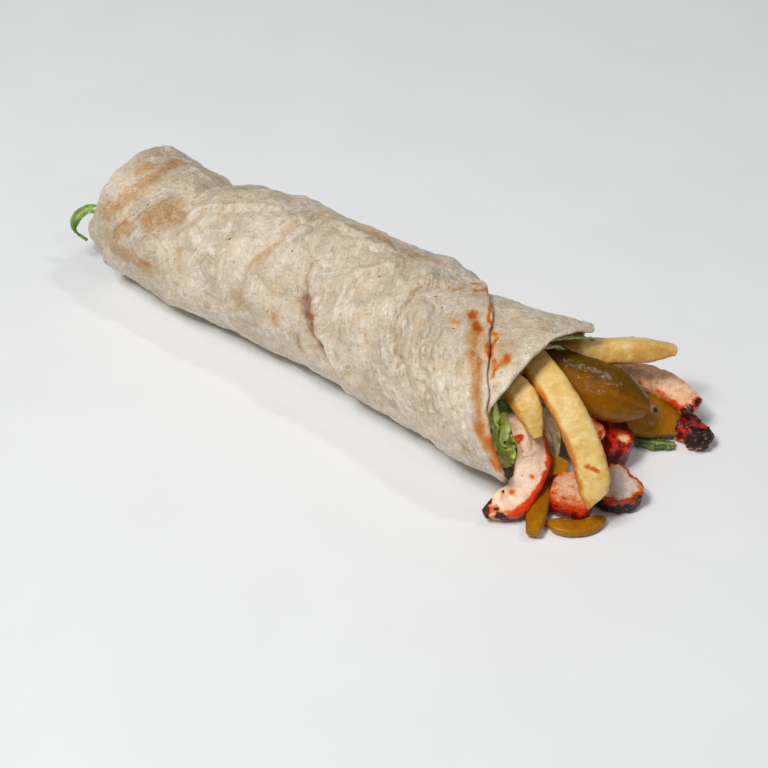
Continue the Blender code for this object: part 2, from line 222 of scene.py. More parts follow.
class Look:  # a material with one Principled shader, and the ways to add nodes to it
    def __init__(self, name, fixed):
        self.material = bpy.data.materials.new(name)
        self.material.use_nodes = True
        self.tree = self.material.node_tree
        self.shader = self.tree.nodes["Principled BSDF"]
        for key, value in fixed.items():
            self.shader.inputs[key].default_value = value
        self.place = self.scaled(self.add("ShaderNodeTexCoord", output="Object"), (1 / mm,) * 3)

    def add(self, kind, settings=None, values=None, output=0):
        node = self.tree.nodes.new(kind)
        for key, value in (settings or {}).items():
            setattr(node, key, value)
        for key, value in (values or {}).items():
            self.feed(node.inputs[key], value)
        return Wire(self, node.outputs[output])

    def feed(self, socket, value):
        if isinstance(value, Wire):
            self.tree.links.new(value.socket, socket)
        else:
            socket.default_value = value

    def scaled(self, vector, factors):
        return self.add("ShaderNodeVectorMath", {"operation": "MULTIPLY"}, {0: vector, 1: factors})

    def noise(self, size, detail=3, rough=0.55, bend=0.0, place=None):  # size in millimetres
        values = {"Vector": place or self.place, "Scale": 1 / size, "Detail": detail,
                  "Roughness": rough, "Distortion": bend}
        return self.add("ShaderNodeTexNoise", None, values)

    def noises(self, rows):  # one noise for each named row of a piece's dictionary
        return {label: self.noise(*values) for label, values in rows.items()}

    def cells(self, size):
        return self.add("ShaderNodeTexVoronoi", None, {"Vector": self.place, "Scale": 1 / size})

    def window(self, value, low, high):  # 0 below low, 1 above high
        settings = {"interpolation_type": "SMOOTHSTEP"}
        return self.add("ShaderNodeMapRange", settings, {0: value, 1: low, 2: high})

    def mark(self, label):  # the three channels painted on the mesh
        colour = self.add("ShaderNodeAttribute", {"attribute_name": label})
        node = self.tree.nodes.new("ShaderNodeSeparateColor")
        self.tree.links.new(colour.socket, node.inputs[0])
        return [Wire(self, node.outputs[k]) for k in range(3)]

    def vector(self, label):
        return self.add("ShaderNodeAttribute", {"attribute_name": label}, output="Vector")

    def mix(self, first, second, share, kind="MIX"):
        settings = {"data_type": "RGBA", "blend_type": kind, "clamp_factor": True}
        return self.add("ShaderNodeMix", settings, {0: share, 6: first, 7: second}, output=2)

    def layer(self, below, fields, tone, label, span=None, share=1, kind="MIX"):
        field = self.window(fields[label], *span) if span else fields[label]
        return self.mix(below, paint(*tone), field * share, kind)

    def layers(self, base, rows, fields):  # a row is colour, field, its span, strength and blend
        colour = base if isinstance(base, Wire) else paint(*base)
        for row in rows:
            colour = self.layer(colour, fields, *row)
        return colour

    def finish(self, colour=None, roughness=None, coat=None, bumps=()):
        for key, value in (("Base Color", colour), ("Roughness", roughness), ("Coat Weight", coat)):
            if value is not None:
                self.feed(self.shader.inputs[key], value)
        normal = None
        for height, depth in bumps:  # depth in millimetres
            values = {"Height": height, "Distance": depth * mm, "Strength": 1.0}
            if normal:
                values["Normal"] = normal
            normal = self.add("ShaderNodeBump", None, values)
        if normal:
            self.feed(self.shader.inputs["Normal"], normal)
        return self.material


# Flatbread
bread = {
    "thickness": 1.8,
    "layerPitch": 2.3,
    "flatDepth": 3.6,
    "tipAngles": (8, 568),  # 0 is the far side, 90 the top, 180 the near side
    "flapLift": 1.6,
    "flapLiftAngles": (48, 140),
    "outerStep": 1.6,
    "innerStep": 3.2,
    "lengthPoints": 230,
    "innerPoints": 60,
    "ridgeGain": 1.9,
    "edgeWander": 0.5,
    "mmPerDegree": 0.58,
    "lumps": ((17, 0.8), (8, 0.75), (3.6, 0.36)),  # size and height of the soft unevenness
    "warp": ((9, 2.0), (3, 0.7)),  # size and reach of the wander of every fold and mark
    "sections": (  # x, half width, height, sideways offset
        (-110, 33.8, 57.8, 0.4), (-97, 33.7, 57.3, 0.2), (-80, 33.0, 54.7, -0.9),
        (-66, 32.8, 53.9, -1.2), (-57, 30.6, 50.0, -3.0), (-46, 32.8, 53.2, -1.3),
        (-20, 33.8, 56.0, 0.9), (5, 33.5, 55.8, 1.5), (25, 34.0, 55.7, 0.8), (48, 34.4, 57.8, 1.6),
        (66, 33.9, 55.5, -0.6), (76, 35.0, 57.0, -1.0), (92, 37.4, 59.2, -1.6),
        (106, 39.0, 61.4, -0.3), (122, 39.4, 62.0, 0.1),
    ),
    "leftEdge": (
        (8, -12), (22, -38), (40, -54), (96, -58), (120, -72), (150, -81), (200, -93), (270, -97),
        (345, -90), (380, -84), (398, -89), (416, -96), (515, -97), (535, -100), (568, -96),
    ),
    "rightEdge": (
        (8, 30), (22, 51), (40, 64), (69, 77), (94, 89), (120, 98), (145, 106), (169, 113),
        (192, 119), (217, 116), (235, 109), (270, 105), (350, 106), (385, 109), (402, 115),
        (414, 119), (430, 116), (445, 112), (480, 110), (513, 107), (568, 102),
    ),
    "pleatLine": ((112, 7), (138, 15), (156, 25), (170, 30.5), (193, 36)),
    "pleatHeight": 1.7,
    # width and height in millimetres, then x and angle along each ridge or groove
    "ridges": (
        (2.8, -0.9, ((16, 139), (20, 149), (24, 156), (29, 166), (34, 181), (36, 193))),
        (1.7, -0.6, ((9, 115), (12, 127), (16, 138))),
        (2.0, 0.7, ((20, 139), (25, 152), (31, 159), (35, 171), (39, 186))),
        (1.9, 0.8, ((40, 81), (35, 94), (29, 102), (28, 109), (29, 116), (30, 127))),
        (1.6, -0.6, ((44, 82), (38, 95), (32, 103), (31, 110), (32, 118), (33, 128))),
        (1.5, 0.7, ((55, 82), (53, 97), (53, 109), (54, 121), (55, 129), (58, 143), (63, 149),
                    (69, 158))),
        (1.3, -0.6, ((58, 84), (56, 97), (56, 109), (57, 121), (58, 130), (61, 142), (66, 150),
                     (73, 159))),
        (1.4, 0.6, ((60, 104), (60, 114), (60, 126), (61, 137), (63, 146), (70, 160))),
        (1.3, 0.55, ((65, 101), (65, 116), (66, 129), (69, 139), (76, 156), (86, 172))),
        (1.2, -0.5, ((68, 101), (68, 116), (69, 129), (72, 139), (78, 150), (86, 164))),
        (1.4, 0.65, ((69, 113), (71, 125), (73, 133), (78, 141), (83, 147), (88, 156), (92, 164))),
        (1.2, -0.5, ((72, 114), (73, 126), (76, 134), (80, 141), (86, 148), (92, 157))),
        (1.4, 0.6, ((76, 115), (76, 127), (79, 136), (82, 143), (89, 152), (95, 163), (100, 178))),
        (1.3, 0.5, ((83, 128), (85, 139), (91, 147), (95, 157), (100, 168), (104, 180))),
        (1.3, 0.45, ((48, 128), (49, 142), (53, 156), (60, 170), (68, 184))),
        (1.3, 0.45, ((40, 124), (42, 140), (46, 156), (53, 172), (60, 188))),
        (1.7, 0.65, ((-9, 109), (-5, 100), (-5, 87), (-2, 74), (6, 70), (15, 74), (24, 78),
                     (29, 71))),
        (1.6, -0.45, ((-5, 110), (-1, 100), (-1, 89), (2, 79), (8, 75))),
        (1.7, 0.6, ((-63, 108), (-59, 88), (-55, 72))),
        (1.7, 0.65, ((-54, 113), (-49, 104), (-41, 94), (-29, 87), (-20, 85))),
        (1.4, -0.4, ((-52, 118), (-47, 110), (-38, 100), (-28, 93))),
        (1.4, 0.45, ((-45, 119), (-42, 111), (-35, 107))),
        (1.5, -0.9, ((-3, 68), (-6, 85), (-8, 100), (-10, 114), (-11, 123), (-10, 133),
                     (-11, 140))),
        (2.2, 0.8, ((0, 72), (-3, 86), (-4, 100), (-6, 114), (-7, 124), (-7, 136))),
        (1.0, 0.5, ((-68, 148), (-63, 140), (-57, 140), (-55, 151), (-59, 164), (-65, 167),
                    (-70, 160), (-68, 148))),
        (4.5, 0.6, ((-62, 154), (-62, 154.1))),
        (2.2, -0.35, ((80, 94), (87, 107), (94, 125), (98, 136), (104, 152))),
        (1.6, 0.5, ((-30, 150), (-24, 160), (-20, 172), (-18, 186))),
        (1.6, -0.4, ((-40, 140), (-36, 154), (-34, 170))),
    ),
    "toast": (  # baked patches, by the same rule
        (4.6, 1.0, ((-81, 71), (-81, 90), (-81, 103), (-82, 115), (-84, 125), (-87, 138),
                    (-90, 147))),
        (3.6, 0.8, ((-90, 101), (-88, 93))),
        (2.6, 0.5, ((-91, 76), (-90, 75))),
        (9.0, 0.30, ((-92, 92), (-92, 125), (-94, 160))),
        (6.5, 1.1, ((-68, 134), (-63, 122), (-60, 114))),
        (4.5, 0.8, ((-82, 159), (-76, 145))),
        (6.0, 0.85, ((-81, 172), (-73, 172), (-63, 172))),
        (1.9, 0.7, ((-9, 106), (-11, 117), (-12, 128), (-14, 140))),
        (2.0, 0.5, ((-5, 74), (-9, 88), (-10, 102))),
        (3.0, 0.6, ((-48, 143), (-45, 160))),
        (4.4, 0.65, ((-17, 160), (-14, 164))),
        (3.6, 0.5, ((4, 161), (5, 168))),
        (3.8, 0.9, ((9, 66), (17, 65), (27, 67))),
        (3.2, 0.7, ((29, 70), (41, 69), (50, 67))),
        (3.0, 0.95, ((80, 94), (87, 107), (94, 125), (98, 136), (104, 152), (107, 164))),
        (3.4, 0.5, ((95, 129), (102, 147))),
        (5.5, 0.4, ((53, 109), (57, 90))),
        (2.4, 0.4, ((33, 94), (27, 103), (26, 110))),
        (2.6, 0.55, ((9, 115), (12, 127), (15, 137))),
        (3.0, 0.6, ((19, 150), (23, 158), (27, 165))),
        (4.5, 0.6, ((17, 174), (19, 178))),
        (3.0, 0.7, ((102, 185), (104, 186))),
        (3.0, 0.5, ((-57, 100), (-52, 92))),
        (3.4, 0.45, ((100, 92), (106, 84))),
        (4.0, 0.3, ((-40, 120), (-30, 128), (-22, 140))),
        (12, 0.35, ((-90, 250), (-40, 262), (20, 268), (80, 262))),
        (5.0, 0.5, ((-60, 20), (-30, 16), (10, 22))),
        (4.0, 0.5, ((40, 330), (70, 340), (90, 330))),
        (5.0, 0.5, ((-80, 300), (-60, 310))),
    ),
    "sauce": (
        (1.7, 1.0, ((80, 93), (81, 94.5))),
        (2.3, 0.85, ((84, 101), (86.5, 104))),
        (0.85, 0.9, ((75, 64), (79, 72), (83, 81), (87, 90), (92, 99), (96, 110), (99, 117),
                     (103, 129))),
        (1.6, 1.0, ((95.5, 111), (98, 116))),
        (1.7, 1.0, ((102.8, 112), (103.6, 118))),
        (1.2, 0.85, ((101, 120), (103, 123))),
        (1.2, 0.8, ((67.5, 63), (70.5, 64))),
        (1.1, 0.95, ((74, 73), (76, 67))),
        (1.0, 0.55, ((65, 81), (67.5, 68))),
        (1.6, 0.5, ((75, 106), (78, 105))),
        (7.0, 0.26, ((95, 104), (102, 111))),
        (4.5, 0.24, ((88, 100), (96, 122))),
        (2.8, 0.6, ((106.5, 162), (109, 165))),
        (3.0, 0.36, ((84, 101), (90, 116), (95, 129), (99, 138), (104, 153))),
        (3.4, 0.85, ((111, 169), (115.7, 175), (118, 184))),
        (2.2, 0.5, ((114, 157), (116, 163))),
        (1.3, 0.8, ((114.8, 185), (116.4, 186))),
        (1.9, 0.6, ((-91.5, 125), (-89.5, 122))),
        (1.3, 0.42, ((-70, 161), (-66, 168), (-61, 168))),
        (3.0, 0.3, ((3.5, 161), (5, 168))),
        (1.0, 0.7, ((61.7, 80), (62, 81))),
        (0.9, 0.8, ((22.5, 145), (22.9, 146))),
        (1.6, 0.35, ((20, 152), (24, 160))),
    ),
    "shade": (  # grey-brown painted shade along the creases and folds
        (3.1, 0.9, ((16, 139), (20, 149), (24, 156), (29, 166), (34, 181))),
        (2.6, 0.75, ((22, 155), (26, 162))),
        (3.0, 0.6, ((17.6, 168), (19, 176))),
        (1.2, 0.5, ((9, 115), (12, 127), (16, 138))),
        (1.0, 0.40, ((44, 82), (38, 95), (32, 103), (31, 110), (32, 118))),
        (0.9, 0.40, ((58, 84), (56, 97), (56, 109), (57, 121), (58, 130), (61, 142), (66, 150))),
        (0.8, 0.35, ((68, 101), (68, 116), (69, 129), (72, 139), (78, 150), (86, 164))),
        (0.8, 0.35, ((72, 114), (73, 126), (76, 134), (80, 141), (86, 148), (92, 157))),
        (1.0, 0.45, ((-3, 68), (-6, 85), (-8, 100), (-10, 114), (-11, 123), (-10, 133))),
        (0.9, 0.30, ((-5, 110), (-1, 100), (-1, 89), (2, 79), (8, 75))),
        (0.9, 0.30, ((-52, 118), (-47, 110), (-38, 100), (-28, 93))),
        (0.9, 0.5, ((-89, 176), (-85, 162), (-79, 147), (-72, 129), (-66, 115), (-63, 102))),
    ),
    "shader": {"Specular IOR Level": 0.5, "Subsurface Weight": 0.08, "Subsurface Scale": 0.003},
    "noises": {  # size in millimetres, detail, roughness, distortion
        "coarse": (26, 3, 0.6, 0.6), "haze": (16, 3, 0.6, 1.2), "oily": (11, 3, 0.6, 0.8),
        "middle": (9, 4, 0.62, 1.0), "small": (3.6, 4, 0.62, 0.6), "fine": (1.3, 3, 0.65),
    },
    "foldScale": (200, 60, 0),
    "baseColour": (198, 181, 156),
    "colours": (
        ((223, 207, 184), "coarse", (0.40, 0.58)),
        ((200, 189, 173), "haze", (0.50, 0.66), 0.75),
        # lighter cream on the tops of the main lumps: a painted highlight
        ((243, 231, 216), "middle", (0.53, 0.68), 0.7),
        ((210, 181, 141), "middle", (0.47, 0.33), 0.7),
        ((192, 169, 147), "small", (0.46, 0.32), 0.5),
        # darker in the fold grooves and lighter on the fold ridges: painted shade and painted
        # highlight
        ((222, 204, 178), "folds", (0.46, 0.34), 0.45, "MULTIPLY"),
        ((246, 235, 221), "folds", (0.54, 0.68), 0.4),
        ((252, 244, 234), "fine", (0.56, 0.70), 0.35),
        ((160, 136, 110), "pores", None, 0.55),
        ((229, 199, 158), "baked", (0.15, 1.0), 1, "MULTIPLY"),
        # grey-brown painted shade along the creases
        ((176, 136, 116), "creaseShade", (0.1, 0.9), 0.9, "MULTIPLY"),
        ((252, 212, 150), "soak", (0.04, 0.5), 0.9, "MULTIPLY"),
        ((252, 196, 104), "ragged", (0.30, 0.65), 1, "MULTIPLY"),
        ((255, 170, 54), "ragged", (0.55, 0.95), 1, "MULTIPLY"),
    ),
    "bumps": {"middle": 1.3, "small": 0.65, "fine": 0.24, "folds": 0.5},  # depth in millimetres
}


def rollMiddle(x):
    halfWidth, height, offset = between(bread["sections"], x)
    return halfWidth, (height + bread["flatDepth"]) / 2, offset


def pleatRise(x, angle):  # a slanting fold: a steep lip, then a long fall to the right
    angle %= 360
    (lineX,) = between(bread["pleatLine"], angle)
    strength = bread["pleatHeight"] * easeStep(angle, 108, 150) * (1 - easeStep(angle, 205, 240))
    past = x - lineX
    if past > 0:
        return strength * math.exp(-past / 26) * (1 - math.exp(-past / 2.5))
    return -0.5 * strength * math.exp(-((past / 7) ** 2)) * (1 - math.exp(past / 2))


def breadSwell(x, angle):
    turn = math.radians(angle)
    place = Vector((x / 34, 1.5 * math.cos(turn), 1.5 * math.sin(turn)))
    return noise.noise(place + Vector((3.1, 0.4, 7.7))) + pleatRise(x, angle)


def wanderedField(xs, angles, wander, strokes):
    step = bread["mmPerDegree"]
    lines = [(w, s, [(x, a * step) for x, a in points]) for w, s, points in strokes]
    return strokeField(xs + wander[0], (angles % 360) * step + wander[1], lines)


def breadFields(xs, angles):  # how far each point stands out, and the marks painted on it
    turns = np.radians(angles)
    places = np.stack([xs, 33 * np.cos(turns), 33 * np.sin(turns)], axis=-1).reshape(-1, 3)
    rise = np.array([breadSwell(x, a) for x, a in zip(xs.ravel(), angles.ravel())])
    for k, (size, height) in enumerate(bread["lumps"]):
        rise += height * (fractal(places, size, 2, 5.0 * k) - 0.15)
    wander = [sum(reach * fractal(places, size, 2, 11.0 * k + size)
                  for size, reach in bread["warp"]).reshape(xs.shape) for k in (1, 2)]
    ridges = wanderedField(xs, angles, wander, bread["ridges"])
    rise = rise.reshape(xs.shape) + bread["ridgeGain"] * ridges
    flap = (angles < 372) | (angles % 360 < 130) & (xs > 88)
    layers = []
    for label in ("toast", "sauce", "shade"):
        field = wanderedField(xs, angles, wander, bread[label])
        layers.append(field if label == "toast" else np.where(flap, field, 0.2 * field))
    return rise, np.stack(layers, axis=-1)


def makeBread(material):
    first, last = bread["tipAngles"]
    thick = bread["thickness"]
    tip = [0.15, 0.5, 0.9, 1.5]  # degrees in which an edge rounds off
    angles = [first] + [first + t for t in tip]
    angles += list(np.arange(first + 2.4, 376, bread["outerStep"]))
    angles += list(np.arange(376, last - 2.4, bread["innerStep"]))
    angles += [last - t for t in tip[::-1]] + [last]
    count = bread["lengthPoints"]
    arc = np.radians([20, 55, 90, 125, 160])
    radius = thick / 2
    xs, insets, turns = [], [], []
    for angle in angles:
        lift = bread["flapLift"] * (1 - easeStep(angle, *bread["flapLiftAngles"]))
        inset = bread["layerPitch"] * (angle - first) / 360 - lift
        fromTip = min(angle - first, last - angle) / 1.5
        slim = math.sqrt(max(0.02, 1 - (1 - min(1, fromTip)) ** 2))
        wander = bread["edgeWander"] * noise.noise(Vector((angle * 0.07, 0, 3)))
        ripple = bread["edgeWander"] * noise.noise(Vector((angle * 0.21, 9, 3)))
        (left,) = between(bread["leftEdge"], angle)
        (right,) = between(bread["rightEdge"], angle)
        left, right = left - 2 * wander + ripple, right + wander + ripple
        top = np.linspace(left + radius, right - radius, count)
        under = np.linspace(right - radius, left + radius, bread["innerPoints"])
        deep = (1 - slim) * radius
        xs.append(np.concatenate([top, right - radius + radius * np.sin(arc), under,
                                  left + radius - radius * np.sin(arc)]))
        rim = radius - radius * np.cos(arc)
        profile = np.concatenate([np.zeros(count), rim, np.full(len(under), thick), rim[::-1]])
        insets.append(inset + deep + profile * slim)
        turns.append(np.full(len(profile), float(angle)))
    xs, insets, turns = np.array(xs), np.array(insets), np.array(turns)
    relief, marks = breadFields(xs, turns)
    sections = np.array([[rollMiddle(x) for x in row] for row in xs])
    halfWidth, halfHeight, offset = np.moveaxis(sections, -1, 0)
    out = relief - insets
    radians = np.radians(turns)
    y = offset + (halfWidth + out) * np.cos(radians)
    z = halfHeight - bread["flatDepth"] + (halfHeight + out) * np.sin(radians)
    floor = np.where(turns > 360, bread["layerPitch"], 0) + (insets - insets[:, :1])
    z = np.maximum(z, floor)
    ceiling = cadBox[1].z / mm - 0.1
    z = np.where(z > ceiling - 1, ceiling - 1 / (1 + np.maximum(z - ceiling + 1, 0)), z)
    rings = np.stack([xs, y, z], axis=-1)
    arc = (turns % 360 - 120) * bread["mmPerDegree"]
    shear = 0.45 * easeStep(xs, -30, 55) - 0.3 * (1 - easeStep(xs, -70, 0))
    grain = np.stack([(xs - shear * arc) / 200, arc / 200, insets / 10], axis=-1)
    piece = closedPiece("flatbreadRoll", rings, material, marks, grain,
                        node="flatbread", slot="flatbread")
    print("flatbread", len(piece.data.polygons), "faces")
    return rings, turns


def breadLook():
    look = Look("bakedFlatbread", bread["shader"])
    toast, sauce, shade = look.mark("marks")
    fields = look.noises(bread["noises"])
    foldPlace = look.scaled(look.vector("grain"), bread["foldScale"])
    fields["folds"] = look.noise(2.6, 4, 0.6, 1.2, foldPlace)
    fields["pores"] = look.window(fields["fine"], 0.45, 0.33)
    fields["pores"] *= look.window(fields["small"], 0.60, 0.42)
    middle, small, fine = [fields[label] - 0.5 for label in ("middle", "small", "fine")]
    fields["baked"] = toast + middle * 1.3 + small * 0.7
    # where the grey-brown painted shade lies along the creases
    fields["creaseShade"] = shade + small * 0.5
    fields["soak"] = sauce + small * 0.6
    fields["ragged"] = sauce + fine * 0.8 + small * 0.6
    oily = look.window(fields["oily"], 0.46, 0.60)
    stain = look.window(fields["ragged"], 0.55, 0.95)
    gloss = 0.42 - oily * 0.21 + small * 0.3 - stain * 0.12
    return look.finish(look.layers(bread["baseColour"], bread["colours"], fields), gloss,
                       bumps=[(fields[label], depth) for label, depth in bread["bumps"].items()])


# Strips swept along a path
capScales = (0.03, 0.3, 0.5, 0.68, 0.82, 0.91, 0.97)
slantLength = 0.125  # the share of a strip's length over which its end is cut at a slant


def makeStrip(name, material, path, width, thickness, ends, roll=0, squareness=3, belly=1,
              rough=0, endLength=0.2, stations=90, sides=56, rounding=0.8, dome=6, slant=0,
              *, relief, paintMarks, **where):
    frames = list(pathFrames(path, stations, roll))
    rings, alongs, arounds = [], [], []
    # close both ends with rings that round over the rim and then run in to the middle
    rims = [(s, (1 - s**dome) ** (1 / dome)) for s in capScales]
    first = [(*frames[0], -drop, scale) for scale, drop in rims]
    last = [(*frames[-1], drop, scale) for scale, drop in rims[::-1]]
    for centre, ahead, side, up, share, drop, scale in (
            first + [(*f, 0, 1) for f in frames] + last):
        start, finish = [end + (1 - end) * math.sin(math.pi / 2 * min(1, away / endLength))
                         for end, away in zip(ends, (share, 1 - share))]
        size = min(start, finish) / 2 * scale
        ring = []
        for j in range(sides):
            angle = fullTurn * (j + 0.5) / sides
            c, s = math.cos(angle), math.sin(angle)
            across = math.copysign(abs(c) ** (2 / squareness), c) * width * size
            rise = math.copysign(abs(s) ** (2 / squareness), s) * thickness * size
            out = side * across + up * (rise * (belly if s < 0 else 1))
            out += out.normalized() * rough * scale * noise.noise((centre + out) / 6)
            lean = slant * max(0, share - 1 + slantLength) / slantLength * across / width
            ring.append(centre + out + ahead * (drop * rounding + lean))
        rings.append(ring)
        alongs.append(np.full(sides, share))
        arounds.append((np.arange(sides) + 0.5) / sides)
    rings, alongs, arounds = np.array(rings), np.array(alongs), np.array(arounds)
    pathLength = sum((b[0] - a[0]).length for a, b in zip(frames, frames[1:]))
    rings = sculpted(rings, alongs, arounds, relief)
    marks = painted(rings, alongs, arounds, paintMarks)
    reach = np.where(alongs > 0, alongs, 0) * pathLength / 100
    grain = np.stack([reach, arounds * (width + thickness) / 50, 0 * reach], axis=-1)
    return closedPiece(name, rings, material, marks, grain, **where)


# Chunks cut from a flat outline
rimRounding = ((-0.5, 0.86), (-0.46, 0.93), (-0.40, 0.975), (-0.32, 1.0), (-0.15, 1.0), (0.0, 1.0),
               (0.15, 1.0), (0.3, 1.0), (0.40, 0.995), (0.46, 0.97), (0.49, 0.945), (0.5, 0.92))


def roundedOutline(outline, count):
    points = [Vector((*p, 0)) for p in outline]
    for near in (0.86, 0.82, 0.8):
        points = [q for a, b in zip(points, points[1:] + points[:1])
                  for q in (a * near + b * (1 - near), a * (1 - near) + b * near)]
    loop = points + points[:1]
    steps = [0.0]
    for a, b in zip(loop, loop[1:]):
        steps.append(steps[-1] + (b - a).length)
    at = np.linspace(0, steps[-1], count, endpoint=False)
    return np.stack([np.interp(at, steps, [p[k] for p in loop]) for k in (0, 1)], axis=-1)


def makeChunk(name, material, outline, thickness, centre, tilt, rough, sides=110, grow=1.03,
              *, relief, paintMarks, **where):
    flat = roundedOutline(outline, sides) * grow
    levels = [(-0.5, s) for s in (0.03, 0.2, 0.4, 0.6, 0.76)] + [*rimRounding]
    levels += [(0.5, s) for s in (0.82, 0.7, 0.55, 0.4, 0.2, 0.03)]
    rings = []
    for level, scale in levels:
        ring = []
        for x, y in flat:
            point = Vector((x * scale, y * scale, level * thickness))
            point += point.normalized() * rough * noise.noise(point / 5 + Vector(centre))
            ring.append(point)
        rings.append(ring)
    rings = np.array(rings)
    local = rings.copy()
    height = np.broadcast_to(np.array([lv for lv, _ in levels])[:, None], rings.shape[:2])
    scale = np.broadcast_to(np.array([s for _, s in levels])[:, None], rings.shape[:2])
    turn = np.array(Euler([math.radians(a) for a in tilt]).to_matrix())
    rings = rings @ turn.T + np.array(centre)
    rings = sculpted(rings, height, scale, relief)
    marks = painted(local, height, scale, paintMarks)
    return closedPiece(name, rings, material, marks, local / 50 + 0.5, **where)


# Fries
fries = {
    "fry_long": dict(
        path=((97, 7, 40.5), (111, -1, 42), (128, -9, 37.5), (141, -15, 27), (149.5, -20.5, 16)),
        width=11.7, thickness=8.9, ends=(0.85, 0.78), roll=-20, squareness=4, endLength=0.1,
        slant=7),
    "fry_short": dict(
        path=((98, -11, 38), (107, -13, 40.5), (115, -16, 37), (121, -19, 30)),
        width=10.5, thickness=8, ends=(0.8, 0.4), roll=-25, squareness=3.4, endLength=0.45),
    "fry_far": dict(
        path=((106, 17, 35.5), (113, 23, 36.8), (126, 34.5, 36.8), (139.5, 47.2, 35.4)),
        width=12.6, thickness=9, ends=(0.8, 0.48), roll=25, squareness=3.4, endLength=0.3,
        rounding=1.8, dome=2.5),
}
fryPaint = {
    "edgeTones": {"fry_long": 1.0, "fry_short": 0.85, "fry_far": 0.5},  # how golden the edges are
    "smears": {"fry_long": (  # size and place of the dabs of sauce
        (0.9, (142.8, -19.9, 27.9)), (0.9, (144.3, -19.4, 27.4)), (1.0, (145.8, -18.6, 27.1)),
        (0.9, (147.2, -18.5, 26.5)), (0.8, (148.2, -17.6, 26)),
    )},
    "shader": {"Specular IOR Level": 0.45, "Subsurface Weight": 0.12, "Subsurface Scale": 0.003},
    "noises": {"coarse": (9, 3, 0.6, 0.6), "middle": (3.2, 4, 0.62, 0.5), "fine": (1.0, 3, 0.6)},
    "speckSize": 5.6,
    "baseColour": (236, 204, 130),
    "colours": (
        ((226, 182, 95), "coarse", (0.38, 0.64)),
        ((216, 163, 78), "middle", (0.56, 0.72), 0.5),
        ((247, 224, 166), "middle", (0.46, 0.34), 0.5),
        ((240, 184, 100), "crisp", (0.2, 1.0), 0.95, "MULTIPLY"),
        ((180, 92, 20), "deep", (0.85, 1.3), 0.7),
        # darker on the underside of each fry: painted shade
        ((236, 196, 130), "under", None, 0.7, "MULTIPLY"),
        ((92, 62, 34), "speck", None, 0.8),
        ((240, 150, 60), "sauce", (0.25, 0.5), 1, "MULTIPLY"),
        ((184, 66, 10), "sauce", (0.5, 0.8), 0.85),
    ),
}


def fryRelief(points, along, around):
    return 0.42 * fractal(points, 8, 3) + 0.14 * fractal(points, 2, 2, 4) - 0.2


def fryMarks(node):
    edgeTone, smears = fryPaint["edgeTones"][node], fryPaint["smears"].get(node, ())

    def marks(points, along, around):
        rough = 0.3 * fractal(points, 7, 3, 12)
        nearSide = np.cos(fullTurn * around)
        farEdge = 0.7 * easeStep(rough - nearSide, 0.65, 1.0)
        edge = np.maximum(easeStep(nearSide + rough, 0.25, 0.85), farEdge)
        edge = edgeTone * np.maximum(edge, 0.6 * easeStep(along + 0.25 * rough, 0.95, 1.0))
        # the underside, which the look darkens with painted shade
        under = easeStep(-np.sin(fullTurn * around) + rough, 0.2, 1.0)
        return edge, nearPlaces(points, smears) + 0 * along, under
    return marks


def fryLook():
    look = Look("friedPotato", fryPaint["shader"])
    edge, smear, under = look.mark("marks")
    fields = look.noises(fryPaint["noises"])
    coarse, middle, fine = [fields[label] - 0.5 for label in ("coarse", "middle", "fine")]
    speck = look.window(look.cells(fryPaint["speckSize"]), 0.06, 0.035)
    fields["crisp"] = edge + coarse * 0.6 + middle * 0.5
    fields["deep"] = edge + middle + coarse * 0.6
    fields["under"] = under
    fields["speck"] = speck * look.window(fields["coarse"], 0.42, 0.55)
    fields["sauce"] = smear + fine * 0.9
    colour = look.layers(fryPaint["baseColour"], fryPaint["colours"], fields)
    return look.finish(colour, 0.40 + middle * 0.4,
                       bumps=((fields["middle"], 0.5), (fields["fine"], 0.2)))


# Gherkins
gherkins = {
    "gherkin_half": dict(
        path=((101, 6.5, 34.8), (112.5, 10, 33.8), (128, 16.8, 29.6), (142, 24.6, 23.4)),
        width=22, thickness=14, ends=(0.5, 0.4), roll=-30, squareness=2.15, belly=0.5,
        endLength=0.3, rounding=1.6, dome=2),
    "gherkin_end": dict(
        path=((119.5, 28, 11), (132, 35, 9), (148, 43, 6)),
        width=21.5, thickness=11, ends=(0.6, 0.64), roll=-20, squareness=2.3, belly=0.6,
        endLength=0.35, rounding=2.0, dome=2.2),
    "gherkin_stick": dict(
        path=((113, 0, 7), (125, -18, 5), (134.5, -39, 3.6)),
        width=7.5, thickness=5, ends=(0.8, 0.7), rounding=1.0, dome=3),
    "gherkin_slice": dict(
        path=((136, -30.2, 2.1), (142.5, -29, 2.3), (148, -24.4, 2.3), (151, -16.8, 2.1)),
        width=6.2, thickness=3.4, ends=(0.4, 0.6), squareness=3.6, rounding=0.8, dome=3),
}
gherkinBit = dict(outline=((-6, -3), (-1, -5), (5, -3), (6, 2), (0, 4), (-5, 3)),
                  thickness=5.5, centre=(125, -12, 10.5), tilt=(25, 10, 30), rough=0.5)
